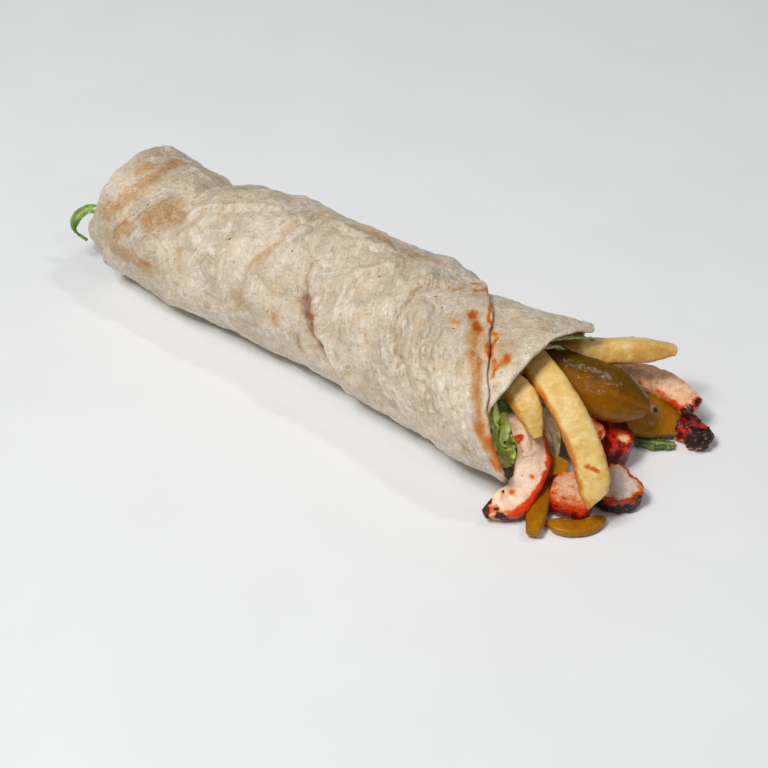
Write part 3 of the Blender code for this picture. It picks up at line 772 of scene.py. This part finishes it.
gherkinPaint = {
    "skins": {"gherkin_half": 1.0, "gherkin_bit": 0.1},  # how much of the peel shows
    "otherSkin": 0.15,
    "pits": {"gherkin_end": ((0.9, (141.8, 36.8, 12.2)), (0.8, (140.6, 37.4, 12.6)),
                             (0.8, (139.9, 43.1, 13.6)))},
    "shader": {"Specular IOR Level": 0.3, "Subsurface Weight": 0.03, "Subsurface Scale": 0.003},
    "noises": {"coarse": (9, 3, 0.6, 0.4), "small": (2.6, 3, 0.6, 0.4), "fine": (1.0, 3, 0.6)},
    "streakScale": (26, 240, 100),
    "flesh": (182, 122, 10),
    "fleshColours": (((156, 99, 2), "coarse", (0.35, 0.65)),),
    "peel": (144, 86, 0),
    "peelColours": (
        ((122, 72, 0), "streak", (0.34, 0.66)),
        ((88, 64, 2), "upper", (0.3, 1.0), 0.85),
    ),
    "colours": (
        ((112, 66, 2), "small", (0.56, 0.70), 0.25),
        ((176, 122, 14), "small", (0.44, 0.32), 0.2),
        ((24, 14, 8), "pits", (0.3, 0.5)),
    ),
}


def gherkinRelief(points, along, around):
    return 0.26 * fractal(points, 6, 2, 2) + 0.10 * fractal(points, 2.2, 2, 6) - 0.15


def gherkinMarks(node):
    skin = gherkinPaint["skins"].get(node, gherkinPaint["otherSkin"])
    pits = gherkinPaint["pits"].get(node, ())

    def marks(points, along, around):
        turn = fullTurn * around
        farTop = 0.75 * np.sin(turn) - 0.66 * np.cos(turn) + 0.15 * fractal(points, 6, 2, 5)
        pit = nearPlaces(points, pits) + 0 * along
        return np.full_like(along, skin), easeStep(farTop, 0.5, 1.0), pit
    return marks


def gherkinLook():
    look = Look("pickledGherkin", gherkinPaint["shader"])
    skin, upper, pit = look.mark("marks")
    fields = look.noises(gherkinPaint["noises"])
    coarse, small, fine = [fields[label] - 0.5 for label in ("coarse", "small", "fine")]
    streakPlace = look.scaled(look.vector("grain"), gherkinPaint["streakScale"])
    fields["streak"] = look.noise(10, 3, 0.6, 0.6, streakPlace)
    fields["upper"] = upper + coarse * 0.5
    fields["pits"] = pit + fine * 0.4
    flesh = look.layers(gherkinPaint["flesh"], gherkinPaint["fleshColours"], fields)
    peel = look.layers(gherkinPaint["peel"], gherkinPaint["peelColours"], fields)
    colour = look.layers(look.mix(flesh, peel, skin), gherkinPaint["colours"], fields)
    bumps = ((fields["coarse"], 0.6), (fields["small"], 0.34), (fields["fine"], 0.07))
    return look.finish(colour, 0.10 + small * 0.08 + pit * 0.6, bumps=bumps)


# Chicken
chickenStrips = {
    "chicken_near": dict(
        path=((104, -14, 29), (114, -15, 26), (120.5, -19, 17), (122, -31, 7.5),
              (115.7, -42.5, 4.4)),
        width=12, thickness=6.8, ends=(0.8, 0.35), roll=20, squareness=3.6, rough=0.7, stations=140,
        sides=72),
    "chicken_far": dict(
        path=((107, 24, 18.5), (116, 35.5, 19.8), (127, 43.2, 18.8), (140, 47.4, 16.4),
              (153, 47, 12.8)),
        width=11, thickness=6.5, ends=(0.5, 0.85), roll=-10, rough=0.7, stations=130, sides=72),
    "chicken_charred": dict(
        path=((148.5, 43.5, 4.0), (152.5, 43.2, 4.6), (158, 41.8, 4.8), (161.9, 38.4, 4)),
        width=10.5, thickness=7.4, ends=(0.45, 0.5), squareness=3.2, rough=1, stations=110,
        sides=80),
}
chickenChunks = {
    "chicken_block": dict(
        outline=((-8, -6), (-3, -8), (6, -8), (8, -4), (8, 4), (4, 8), (-4, 8), (-8, 4)),
        thickness=11.5, centre=(137.5, -17, 6.3), tilt=(0, 0, 20), rough=0.5),
    "chicken_slice": dict(
        outline=((-4, -9.5), (3, -8.5), (8.5, -3.5), (10.5, 2.5), (4, 7.5), (-6, 9.5), (-9.5, 5),
                 (-9, -5)),
        thickness=8, centre=(149, -3, 5), tilt=(5, 0, 0), rough=0.9),
    "chicken_glazed": dict(
        outline=((-8, -7), (0, -9), (8, -6), (9, 2), (5, 8), (-3, 9), (-9, 3)),
        thickness=13, centre=(134.5, 13.5, 8.2), tilt=(6, 6, 30), rough=1.2),
    "chicken_shred": dict(
        outline=((-6, -4), (0, -6), (5, -4), (6, 2), (1, 5), (-6, 3)),
        thickness=9, centre=(130.5, 4.5, 19), tilt=(20, 20, 0), rough=1),
}


def meatRelief(points, first, second):
    fibres = ridged(points * np.array([0.35, 0.6, 1.2]), 2.2, 2, 1.0)
    return 0.5 * fractal(points, 5, 3, 3) + 0.3 * (0.5 - fibres) - 0.25


def crustRelief(points, first, second):
    return 0.8 * fractal(points, 3.4, 4, 3) + 0.35 * fractal(points, 1.3, 2, 8) - 0.45


nearSpots = (  # dabs of sauce, as size and place
    (1.2, (120.6, -32.9, 10.9)), (0.9, (117.3, -17.7, 27.3)), (0.8, (124.1, -25.1, 14.7)),
)
bareSpot = (math.sqrt(6), (4.8, -1.5, 6.2))  # where the glazed piece shows its meat


def nearMarks(points, along, around):  # red glaze down one edge, dark crusty tip
    side = -np.cos(fullTurn * around)
    rough = 0.35 * fractal(points, 5, 3, 7)
    tip = easeStep(along + 0.3 * rough, 0.82, 0.92)
    glaze = easeStep(side + rough, 0.22, 0.62) * (1 - 0.5 * tip)
    left = 0.7 * easeStep(-side + rough, 0.85, 1.1) * easeStep(along + rough, 0.3, 0.5)
    spots = nearPlaces(points, nearSpots)
    burnt = easeStep(along + 0.45 * rough + 0.07 * np.abs(side), 0.95, 1.02)
    edge = 0.6 * easeStep(along + 0.4 * rough, 0.90, 0.97)
    red = np.maximum(np.maximum(glaze, left), np.maximum(spots, edge))
    # third channel: the underside, for painted shade, and the crusty tip
    return red, burnt, easeStep(-np.sin(fullTurn * around) + rough + 0.7 * tip, -0.4, 0.75)


def farMarks(points, along, around):  # orange-brown round its edges
    side = np.cos(fullTurn * around)
    rough = 0.4 * fractal(points, 5, 3, 9)
    glaze = easeStep(np.abs(side) + rough, 0.60, 1.15)
    glaze = np.maximum(glaze, easeStep(along + 0.3 * rough, 0.90, 0.98))
    glaze = np.maximum(glaze, 0.9 * easeStep(0.45 - along + rough, 0.0, 0.5))
    burnt = 0.75 * easeStep(along + 0.3 * rough, 0.96, 1.0)
    burnt = np.maximum(easeStep(-side + rough, 1.0, 1.25), burnt)
    # third channel: the underside, for painted shade
    return np.maximum(0.22, 0.72 * glaze), burnt, easeStep(-np.sin(fullTurn * around), 0.0, 0.8)


def charredMarks(points, along, around):  # red where it starts, black on top of the rest
    rough = 0.6 * fractal(points, 4, 3, 2)
    upper = np.sin(fullTurn * around)
    burnt = easeStep(0.5 * upper + 3 * (along - 0.68) + rough, 0.1, 0.5)
    pale = easeStep(-upper + rough, 0.1, 0.6) * easeStep(np.cos(fullTurn * around), -0.2, 0.3)
    return 1 - 0.75 * pale, burnt * (1 - pale), easeStep(rough, -0.2, 0.3)


def blockMarks(points, level, scale):
    rough = 0.14 * fractal(points, 3, 3, 5)
    side = easeStep(0.36 - level + rough, 0.0, 0.16) * easeStep(scale, 0.80, 0.95)
    rim = 0.27 + 0.22 * easeStep(scale + rough, 0.5, 1.0)
    # third channel: the lower part, for painted shade
    return np.maximum(side, rim), 0 * level, easeStep(0.30 - level + rough, 0.0, 0.6)


def sliceMarks(points, level, scale):
    rough = fractal(points, 3.4, 3, 5)
    side = easeStep(scale + 0.20 * rough, 0.66, 1.02)
    burnt = easeStep(0.38 - level + 0.5 * rough, 0.05, 0.45) * easeStep(scale, 0.9, 1.0)
    # third channel: the lower part, for painted shade
    return side, burnt, easeStep(0.35 - level + 0.4 * rough, 0.0, 0.5)


def glazedMarks(points, level, scale):
    rough = fractal(points, 4, 3, 5)
    pale = nearPlaces(points, [bareSpot])
    light = easeStep(fractal(points, 5, 2, 15), 0.0, 0.45)
    return 1 - pale, easeStep(rough, 0.45, 0.8) * 0.4, 1 - light


def shredMarks(points, level, scale):
    rough = fractal(points, 2.6, 3, 8)
    glaze = 0.35 + 0.65 * easeStep(rough, -0.1, 0.35)
    return glaze, 0.3 * easeStep(rough, 0.6, 0.9), easeStep(rough, 0.3, 0.8)


# flesh tones: base, browner, a paler one for painted highlights on the fibres, darker
pinkFlesh = ((253, 226, 202), (243, 201, 165), (255, 242, 228), (222, 156, 110))
greyFlesh = ((222, 208, 196), (214, 186, 166), (240, 232, 226), (206, 150, 120))
chickenPaint = {
    # each glaze: a lighter tone, then a darker tone used as painted shade on undersides, and as a
    # random tone on the charred, glazed and shred pieces
    "roast": dict(flesh=pinkFlesh, glaze=((246, 66, 0), (120, 14, 0)), gloss=0.24),
    "paleRoast": dict(flesh=greyFlesh, glaze=((186, 66, 8), (90, 16, 2)), gloss=0.18),
    "glazed": dict(flesh=pinkFlesh, glaze=((226, 40, 0), (122, 6, 0)), gloss=0.28),
    "charred": dict(flesh=pinkFlesh, glaze=((176, 30, 26), (96, 12, 14)), gloss=0.14),
    "shader": {"Specular IOR Level": 0.32, "Coat Roughness": 0.08, "Subsurface Weight": 0.06,
               "Subsurface Scale": 0.003},
    "noises": {"coarse": (6, 3, 0.6, 0.5), "middle": (2.4, 4, 0.65, 0.4), "fine": (0.8, 3, 0.6)},
    "fibreScale": (22, 80, 50),
    "speckSize": 6.0,
}


def chickenLook(kind):
    look = Look(f"{kind}Chicken", chickenPaint["shader"])
    values = chickenPaint[kind]
    base, browner, paler, darker = values["flesh"]
    glaze, burnt, under = look.mark("marks")
    fields = look.noises(chickenPaint["noises"])
    middle, fine = fields["middle"] - 0.5, fields["fine"] - 0.5
    fibrePlace = look.scaled(look.vector("grain"), chickenPaint["fibreScale"])
    fields["fibre"] = look.noise(2.0, 3, 0.55, 0.9, fibrePlace)
    fields["blush"] = glaze + middle * 0.8
    fields["deep"] = glaze + middle + fine * 0.4
    fields["under"] = under + middle * 1.7 + fine * 0.9
    fields["speck"] = look.cells(chickenPaint["speckSize"])
    fields["char"] = burnt + middle * 1.1 + fine * 0.3
    meat = look.layers(base, (
        (browner, "coarse", (0.38, 0.64)),
        # lighter on the fibre ridges and darker between them: painted highlight and painted shade
        # along the fibre bumps
        (paler, "fibre", (0.52, 0.68), 0.3),
        ((238, 210, 190), "fibre", (0.47, 0.35), 0.28, "MULTIPLY"),
        (darker, "middle", (0.60, 0.76), 0.4),
        ((246, 196, 142), "blush", (0.0, 0.5), 0.9, "MULTIPLY"),
        ((240, 150, 74), "deep", (0.24, 0.66), 1, "MULTIPLY"),
    ), fields)
    skin = look.window(glaze + middle * 1.1 + fine * 0.5, 0.42, 0.92)
    # the glaze turns to its darker tone on undersides, which is painted shade, and at random on the
    # charred, glazed and shred pieces
    red = look.layers(values["glaze"][0], ((values["glaze"][1], "under", (0.15, 0.85)),), fields)
    colour = look.layers(look.mix(meat, red, skin), (
        ((170, 56, 10), "speck", (0.09, 0.05), 0.6),
        ((24, 12, 12), "char", (0.38, 0.7), 0.95),
    ), fields)
    char = look.window(fields["char"], 0.38, 0.7)
    rough = 0.42 - skin * values["gloss"] + char * 0.12 + fine * 0.2
    return look.finish(colour, rough, coat=skin * 0.12, bumps=(
        (fields["fibre"], 0.25), (fields["middle"], 0.7), (fields["fine"], 0.22)))


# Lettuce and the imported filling
filling = {
    "sections": (
        (-92, 0.72, 0, 1), (-89, 0.93, 0, 0), (-84, 1.0, 0, 0), (80, 1.0, 0, 0), (90, 0.96, 0, 1),
        (98, 0.88, 2, 2), (105, 0.74, 4, 6), (110, 0.5, 6, 9),
    ),
    "clearance": 1.4,
    "leaves": (  # path, width, roll, ruffle, waves
        (((98, -22, 40), (103, -24.5, 34), (106, -26, 27), (108, -27, 20)), 9, -30, 1.6, 2),
        (((104, -20, 30), (108, -22, 23), (110.5, -23, 17), (112, -24, 11.5)), 9, -30, 1.5, 2.2),
        (((96, -14, 14), (106, -15, 12), (113, -16, 13), (115, -11, 18)), 8, 20, 1.2, 2.5),
        (((98, -1, 31), (109, -4, 30), (117, -6, 24), (120, -7, 15)), 9, -20, 1.2, 2.5),
        (((-86, -14, 27), (-100, -14, 27), (-108, -17, 29), (-113, -18.6, 26.7),
          (-116.2, -20.6, 22.6), (-116.5, -22, 18.5), (-115.3, -21.6, 14.5), (-112.0, -20, 12)),
         3.9, 60, 0.6, 1.8),
        (((100, -13, 38), (105, -18, 34.5), (108, -21, 31), (109.5, -23.5, 27.8),
          (110, -24.5, 23), (111, -23, 17.5)), 4.6, 40, 0.5, 1.2),
        (((104, -18, 32), (108, -18.5, 27), (109.5, -18, 22.5), (111, -17.8, 18.5),
          (112.5, -18.5, 14)), 5, 10, 0.7, 1.6),
        (((108, -24, 23), (110.5, -23.5, 19.5), (112, -21.5, 16), (113, -19.5, 11.5)),
         6.5, 55, 0.9, 2),
        (((103, -22, 41), (106.5, -25.5, 39), (108, -27.5, 36.5), (109, -28, 33)), 3.6, 60, 0.5, 1),
        (((104, -15, 35), (107, -16, 31), (108.5, -18, 28), (109, -19, 24)), 3.4, 20, 0.4, 1),
        (((115, -4, 27), (118.5, -5, 23), (120.5, -6, 18.5), (122, -7.5, 13), (123.5, -9.5, 9.5)),
         6, -20, 0.9, 1.8),
        (((103, 6, 46.5), (106.5, 8.5, 46.5), (108.5, 12.5, 44.5), (110, 17, 40.5)),
         2.6, 30, 0.5, 1.4),
        (((108, 8, 51), (112, 14, 50), (114.5, 22, 46), (115.5, 30, 40)), 1.4, 25, 0.3, 1.4),
    ),
    "groundLeaf": (((138, 27, 1.8), (145, 30, 2), (153, 34.5, 1.8)), 6.5, 0, 0.6, 2.5),
    "tones": {3: "pale", 4: "tail", 10: "pale", 11: "pale"},  # by place in the list of leaves
    "leafThickness": 0.7,
    "shreds": {
        "count": 110, "seed": 4, "ends": (-92.0, 104.0), "shifts": (0, 5), "wall": 8, "lower": 4,
        "spread": 0.72, "length": (7, 15), "curl": (-4, 4), "width": (1.6, 3.6),
        "roll": (50, 130), "ruffle": 0.5, "waves": (0.5, 1.5), "grid": (14, 4), "thickness": 0.5,
    },
    "leafShader": {"Specular IOR Level": 0.5, "Coat Weight": 0.25, "Coat Roughness": 0.12,
                   "Subsurface Weight": 0.1, "Subsurface Scale": 0.002},
    "leafColours": {  # darker and lighter leaf, vein, rim
        "fresh": ((224, 246, 104), (248, 254, 188), (176, 214, 60), (150, 190, 40)),
        "tail": ((96, 144, 36), (158, 192, 92), (66, 110, 20), (80, 126, 26)),
        "pale": ((236, 226, 168), (252, 244, 216), (206, 196, 120), (214, 206, 120)),
        "ground": ((92, 112, 52), (132, 150, 84), (62, 84, 30), (70, 90, 34)),
    },
    "rib": (234, 234, 176),
    # dark green and brown, partly painted shade of the roll's inside
    "core": (58, 74, 18),
    "coreColours": (
        ((128, 144, 56), "middle", (0.42, 0.64)),
        ((96, 44, 20), "coarse", (0.55, 0.66), 0.8),
    ),
}


def leafGrid(path, width, roll, ruffle, waves, stations=70, folds=14):
    rows, marks = [], []
    for centre, _, side, up, share in pathFrames(path, stations, roll):
        half = width / 2 * (0.3 + 0.7 * math.sin(math.pi * (0.08 + 0.84 * share)))
        row, mark = [], []
        for j in range(folds + 1):
            across = 2 * j / folds - 1
            wave = ruffle * abs(across) * math.sin(fullTurn * waves * share + 3 * across)
            wave += 0.4 * ruffle * across**2 * math.sin(fullTurn * 3.1 * waves * share + 2)
            wave += 0.5 * noise.noise(Vector((share * 9, across * 2, path[0][0])))
            row.append(centre + side * (across * half) + up * wave)
            mark.append((share, abs(across), math.exp(-((across / 0.16) ** 2))))
        rows.append(row)
        marks.append(mark)
    return np.array(rows), np.array(marks)


def thinSheet(rows, marks, thickness):  # both faces of a leaf as one closed grid of rings
    along = np.gradient(rows, axis=0)
    across = np.gradient(rows, axis=1)
    normal = np.cross(across, along)
    normal /= np.maximum(np.linalg.norm(normal, axis=2, keepdims=True), 1e-9)
    half = normal * thickness / 2
    rings = np.concatenate([rows + half, (rows - half)[:, ::-1]], axis=1)
    return rings, np.concatenate([marks, marks[:, ::-1]], axis=1)


def makeLeaf(name, material, values, **where):
    rings, marks = thinSheet(*leafGrid(*values), filling["leafThickness"])
    rings[..., 2] = np.maximum(rings[..., 2], restGap)
    return closedPiece(name, rings, material, marks, marks, **where)


def leafLook(tone):
    look = Look(f"{tone}Lettuce", filling["leafShader"])
    dark, light, vein, rim = filling["leafColours"][tone]
    _, across, rib = look.mark("marks")
    fields = {"coarse": look.noise(7, 3, 0.6, 0.4), "fine": look.noise(1.1, 3, 0.6), "rib": rib,
              "across": across, "veins": look.window(look.cells(3.2), 0.1, 0.5)}
    colour = look.layers(dark, (
        (light, "coarse", (0.36, 0.62)),
        (vein, "veins", None, 0.35),
        (filling["rib"], "rib", None, 0.4),
        (rim, "across", (0.75, 1.0), 0.35),
    ), fields)
    return look.finish(colour, 0.34, bumps=((fields["veins"], 0.35), (fields["fine"], 0.14)))


def coreLook():
    look = Look("packedFilling", {"Specular IOR Level": 0.3})
    fields = {"coarse": look.noise(6, 3, 0.6, 1.0), "middle": look.noise(2.5, 3, 0.6, 1.0)}
    colour = look.layers(filling["core"], filling["coreColours"], fields)
    return look.finish(colour, 0.5, bumps=((fields["middle"], 1.2), (fields["coarse"], 1.5)))


def hollowPoint(x, angle, inset, floor):
    halfWidth, halfHeight, offset = rollMiddle(x)
    turn = math.radians(angle)
    out = breadSwell(x, angle) - inset
    y = offset + (halfWidth + out) * math.cos(turn)
    z = halfHeight - bread["flatDepth"] + (halfHeight + out) * math.sin(turn)
    return Vector((x, y, max(z, floor)))


def makeFilling(coreMaterial, leafMaterials):
    first, last = bread["tipAngles"]
    inset = bread["layerPitch"] * (last - first) / 360 + bread["thickness"] + filling["clearance"]
    floor = 2 * bread["layerPitch"] + bread["thickness"]
    rings, marks = [], []
    stations = [*np.arange(-92, 110.1, 2)]
    closing = (0.05, 0.4, 0.75)  # rings that close the ends
    for x, shrink in ([(-92, s) for s in closing] + [(x, 1) for x in stations]
                      + [(110, s) for s in closing[::-1]]):
        size, shift, drop = between(filling["sections"], x)
        height = 2 * rollMiddle(x)[1] - bread["flatDepth"]
        middle = Vector((x, rollMiddle(x)[2], height / 2))
        moved = middle - Vector((0, shift, drop))
        ring = []
        for k in range(72):
            point = hollowPoint(x, 5 * k, inset, floor)
            point = moved + (point - middle) * (size * shrink)
            point.z = max(point.z, floor)
            ring.append(point)
        rings.append(ring)
    rings = np.array(rings)
    rise = 0.9 * fractal(rings.reshape(-1, 3), 5, 3, 1).reshape(rings.shape[:2]) - 0.5
    rings = rings + gridNormals(rings) * rise[..., None]
    closedPiece("packedFilling", rings, coreMaterial, np.zeros_like(rings),
                node="lettuce_filling", slot="lettuce")
    for k, values in enumerate(filling["leaves"]):
        tone = filling["tones"].get(k, "fresh")
        makeLeaf(f"leafCurl{k + 1}", leafMaterials[tone], values, slot="lettuce")
    makeLeaf("looseLeaf", leafMaterials["ground"], filling["groundLeaf"], node="lettuce_leaf",
             slot="lettuce")
    makeShreds(leafMaterials["tail"])
    print("filling and lettuce made")


def makeShreds(material):  # cut leaf packed into both ends of the roll
    values = filling["shreds"]
    rng = random.Random(values["seed"])
    verts, faces, marks = [], [], []
    for k in range(values["count"]):
        outward, baseX, shift = (-1, 1)[k % 2], values["ends"][k % 2], values["shifts"][k % 2]
        halfWidth, halfHeight, offset = rollMiddle(baseX)
        angle, radius = rng.uniform(0, fullTurn), math.sqrt(rng.random()) * values["spread"]
        reachY, reachZ = [radius * (half - values["wall"]) for half in (halfWidth, halfHeight)]
        middle = Vector((baseX, offset + reachY * math.cos(angle) - shift,
                         halfHeight - values["lower"] + reachZ * math.sin(angle) - shift))
        heading = rng.uniform(0, fullTurn)
        ahead = Vector((rng.uniform(-0.15, 0.15), math.cos(heading), math.sin(heading)))
        bend = Vector((rng.uniform(-0.1, 0.1), -math.sin(heading), math.cos(heading)))
        length, curl = rng.uniform(*values["length"]), rng.uniform(*values["curl"])
        path = [middle + ahead * (length * t) + bend * (curl * t * t * 4)
                for t in (-0.5, -0.2, 0.15, 0.5)]
        path = [p + Vector((outward * rng.uniform(-1.2, 0.6), 0, 0)) for p in path]
        width, roll, waves = [rng.uniform(*values[label]) for label in ("width", "roll", "waves")]
        rows, tags = leafGrid(path, width, roll, values["ruffle"], waves, *values["grid"])
        rings, tags = thinSheet(rows, tags, values["thickness"])
        faces += gridFaces(*rings.shape[:2], len(verts))
        verts.extend(rings.reshape(-1, 3))
        marks.extend(tags.reshape(-1, 3))
    makePiece("shreddedLettuce", verts, faces, material, slot="lettuce",
              marks=np.array(marks), grain=np.array(marks))


# Pepper flecks on the bread
flecks = {
    "seed": 9,
    "sides": 7,
    "levels": ((-0.1, 1.0), (0.12, 0.9), (0.22, 0.5)),  # height and width of each ring of points
    "colours": ((30, 22, 18), (70, 46, 30)),
    "places": (  # x, angle, size
        (-28.7, 123, 1.1), (-0.4, 112, 0.75), (-78.2, 136, 0.6), (-71, 135, 0.45), (-85, 163, 0.6),
        (-91.3, 124, 0.7), (-89.2, 122, 0.5), (-13.3, 126, 0.5), (-0.1, 163, 0.4),
        (37.6, 102, 0.85),
        (61.7, 94, 0.65), (67.5, 99, 0.6), (77.9, 109, 0.7), (59.8, 129, 0.5), (56.3, 162, 0.65),
        (104.9, 134, 0.5), (90.2, 127, 0.45), (58, 174, 0.5), (17.5, 120, 0.4), (97.8, 107, 0.4),
        (108, 104, 0.5), (102, 96, 0.45), (-40, 150, 0.35), (-12, 170, 0.4), (-50, 60, 0.6),
        (30, 40, 0.6), (70, 20, 0.5), (-20, 350, 0.6), (50, 340, 0.5), (-60, 330, 0.5),
    ),
}


def makeFlecks(rings, turns, material):
    rng = random.Random(flecks["seed"])
    sides, levels = flecks["sides"], flecks["levels"]
    count = bread["lengthPoints"]
    verts, faces = [], []
    normals = gridNormals(rings)
    for x, angle, size in flecks["places"]:
        row = int(np.argmin(np.abs(turns[:, 0] - angle)))
        if x > rings[row, count - 1, 0]:  # beyond the outer flap's edge it lies on the layer below
            row = int(np.argmin(np.abs(turns[:, 0] - angle - 360)))
        column = int(np.argmin(np.abs(rings[row, :count, 0] - x)))
        centre, normal = Vector(rings[row, column]), Vector(normals[row, column])
        centre -= normal * 0.05 * size
        side = normal.orthogonal().normalized()
        other = normal.cross(side)
        start = len(verts)
        reach = [size * rng.uniform(0.35, 0.6) for _ in range(sides)]
        for level, scale in levels:
            for j in range(sides):
                turn = fullTurn * j / sides
                out = side * math.cos(turn) * 1.3 + other * math.sin(turn) * 0.8
                verts.append(centre + out * (reach[j] * scale) + normal * (level * size))
        faces += gridFaces(len(levels), sides, start)
        faces.append(tuple(range(start, start + sides))[::-1])
        faces.append(tuple(range(len(verts) - sides, len(verts))))
    makePiece("pepperFlecks", verts, faces, material, slot="flatbread")


def fleckLook():
    look = Look("blackPepper", {"Roughness": 0.6})
    dark, brown = flecks["colours"]
    rows = ((brown, "tone", (0.4, 0.7)),)
    return look.finish(look.layers(dark, rows, {"tone": look.noise(0.4, 2)}))


# Floor, light and camera
stage = {
    "floorColour": paint(241, 243, 245),
    "floorReach": 3,
    "worldColour": (0.95, 0.97, 1.0, 1),
    "worldStrength": 0.14,
    "lamps": (  # place in metres, size, watts, colour
        ((-0.14, -0.77, 1.47), 0.56, 16.8, (1.0, 0.99, 0.97)),
        ((-0.056, -0.87, 1.33), 0.13, 3.9, (1.0, 0.99, 0.97)),
        ((0.63, 0.53, 1.54), 0.12, 3.1, (1.0, 0.98, 0.95)),
        ((0.98, -0.27, 1.30), 0.10, 1.0, (1.0, 0.99, 0.97)),
    ),
    "lampTarget": (0.03, 0, 0.02),
    "cameraPlace": (0.32657, -0.39206, 0.44340),
    "cameraAngles": (36.5, 42.63, 0.61),  # azimuth, elevation, roll
    "lens": 75,
}


def makeStage():
    look = Look("paleFloor", {"Roughness": 0.55, "Specular IOR Level": 0.3})
    grain = look.noise(60, 2)
    pale = stage["floorColour"]
    tint = tuple(c * 0.985 for c in pale[:3]) + (1,)
    look.finish(look.mix(pale, tint, look.window(grain, 0.4, 0.6)))
    mesh = bpy.data.meshes.new("floor")
    far = stage["floorReach"]
    corners = [(-far, -far, 0), (far, -far, 0), (far, far, 0), (-far, far, 0)]
    mesh.from_pydata(corners, [], [(0, 1, 2, 3)])
    mesh.materials.append(look.material)
    addObject("floor", mesh)
    world = bpy.data.worlds.new("studio")
    world.use_nodes = True
    sky = world.node_tree.nodes["Background"]
    sky.inputs["Color"].default_value = stage["worldColour"]
    sky.inputs["Strength"].default_value = stage["worldStrength"]
    bpy.context.scene.world = world
    for k, (place, size, watts, colour) in enumerate(stage["lamps"]):
        lamp = bpy.data.lights.new(f"softbox{k + 1}", "AREA")
        lamp.size = size
        lamp.energy = watts
        lamp.color = colour
        holder = addObject(lamp.name, lamp)
        holder.location = place
        aim = Vector(stage["lampTarget"]) - holder.location
        holder.rotation_euler = aim.to_track_quat("-Z", "Y").to_euler()
    azimuth, elevation, roll = [math.radians(a) for a in stage["cameraAngles"]]
    lens = bpy.data.cameras.new("photoCamera")
    lens.lens = stage["lens"]
    lens.sensor_width = 36
    camera = addObject("photoCamera", lens)
    camera.matrix_world = (Matrix.Translation(stage["cameraPlace"])
                           @ Matrix.Rotation(azimuth, 4, "Z")
                           @ Matrix.Rotation(math.pi / 2 - elevation, 4, "X")
                           @ Matrix.Rotation(roll, 4, "Z"))
    bpy.context.scene.camera = camera
    bpy.context.scene.view_settings.view_transform = "Standard"
    print("stage set")


# Build
makeStage()
breadRings, breadTurns = makeBread(breadLook())
makeFlecks(breadRings, breadTurns, fleckLook())

fryMaterial = fryLook()
for node, values in fries.items():
    makeStrip(node.replace("_", ""), fryMaterial, **values, relief=fryRelief,
              paintMarks=fryMarks(node), node=node, slot="fry")
print("fries made")

gherkinMaterial = gherkinLook()
for node, values in gherkins.items():
    makeStrip(node.replace("_", ""), gherkinMaterial, **values, relief=gherkinRelief,
              paintMarks=gherkinMarks(node), node=node, slot="gherkin")
makeChunk("gherkinbit", gherkinMaterial, **gherkinBit, relief=gherkinRelief,
          paintMarks=gherkinMarks("gherkin_bit"), node="gherkin_bit", slot="gherkin")
print("gherkins made")

chickenMaterials = {kind: chickenLook(kind) for kind in ("roast", "paleRoast", "glazed", "charred")}
chickenParts = {  # material, relief, marks and slot
    "chicken_near": ("roast", meatRelief, nearMarks, "chicken"),
    "chicken_far": ("roast", meatRelief, farMarks, "chicken"),
    "chicken_charred": ("charred", crustRelief, charredMarks, "charred_chicken"),
    "chicken_block": ("roast", meatRelief, blockMarks, "chicken"),
    "chicken_slice": ("paleRoast", crustRelief, sliceMarks, "chicken"),
    "chicken_glazed": ("glazed", meatRelief, glazedMarks, "glazed_chicken"),
    "chicken_shred": ("roast", crustRelief, shredMarks, "chicken"),
}
for make, shapes in ((makeStrip, chickenStrips), (makeChunk, chickenChunks)):
    for node, values in shapes.items():
        kind, relief, marks, slot = chickenParts[node]
        make(node.replace("_", ""), chickenMaterials[kind], **values, relief=relief,
             paintMarks=marks, node=node, slot=slot)
print("chicken made")

makeFilling(coreLook(), {tone: leafLook(tone) for tone in filling["leafColours"]})
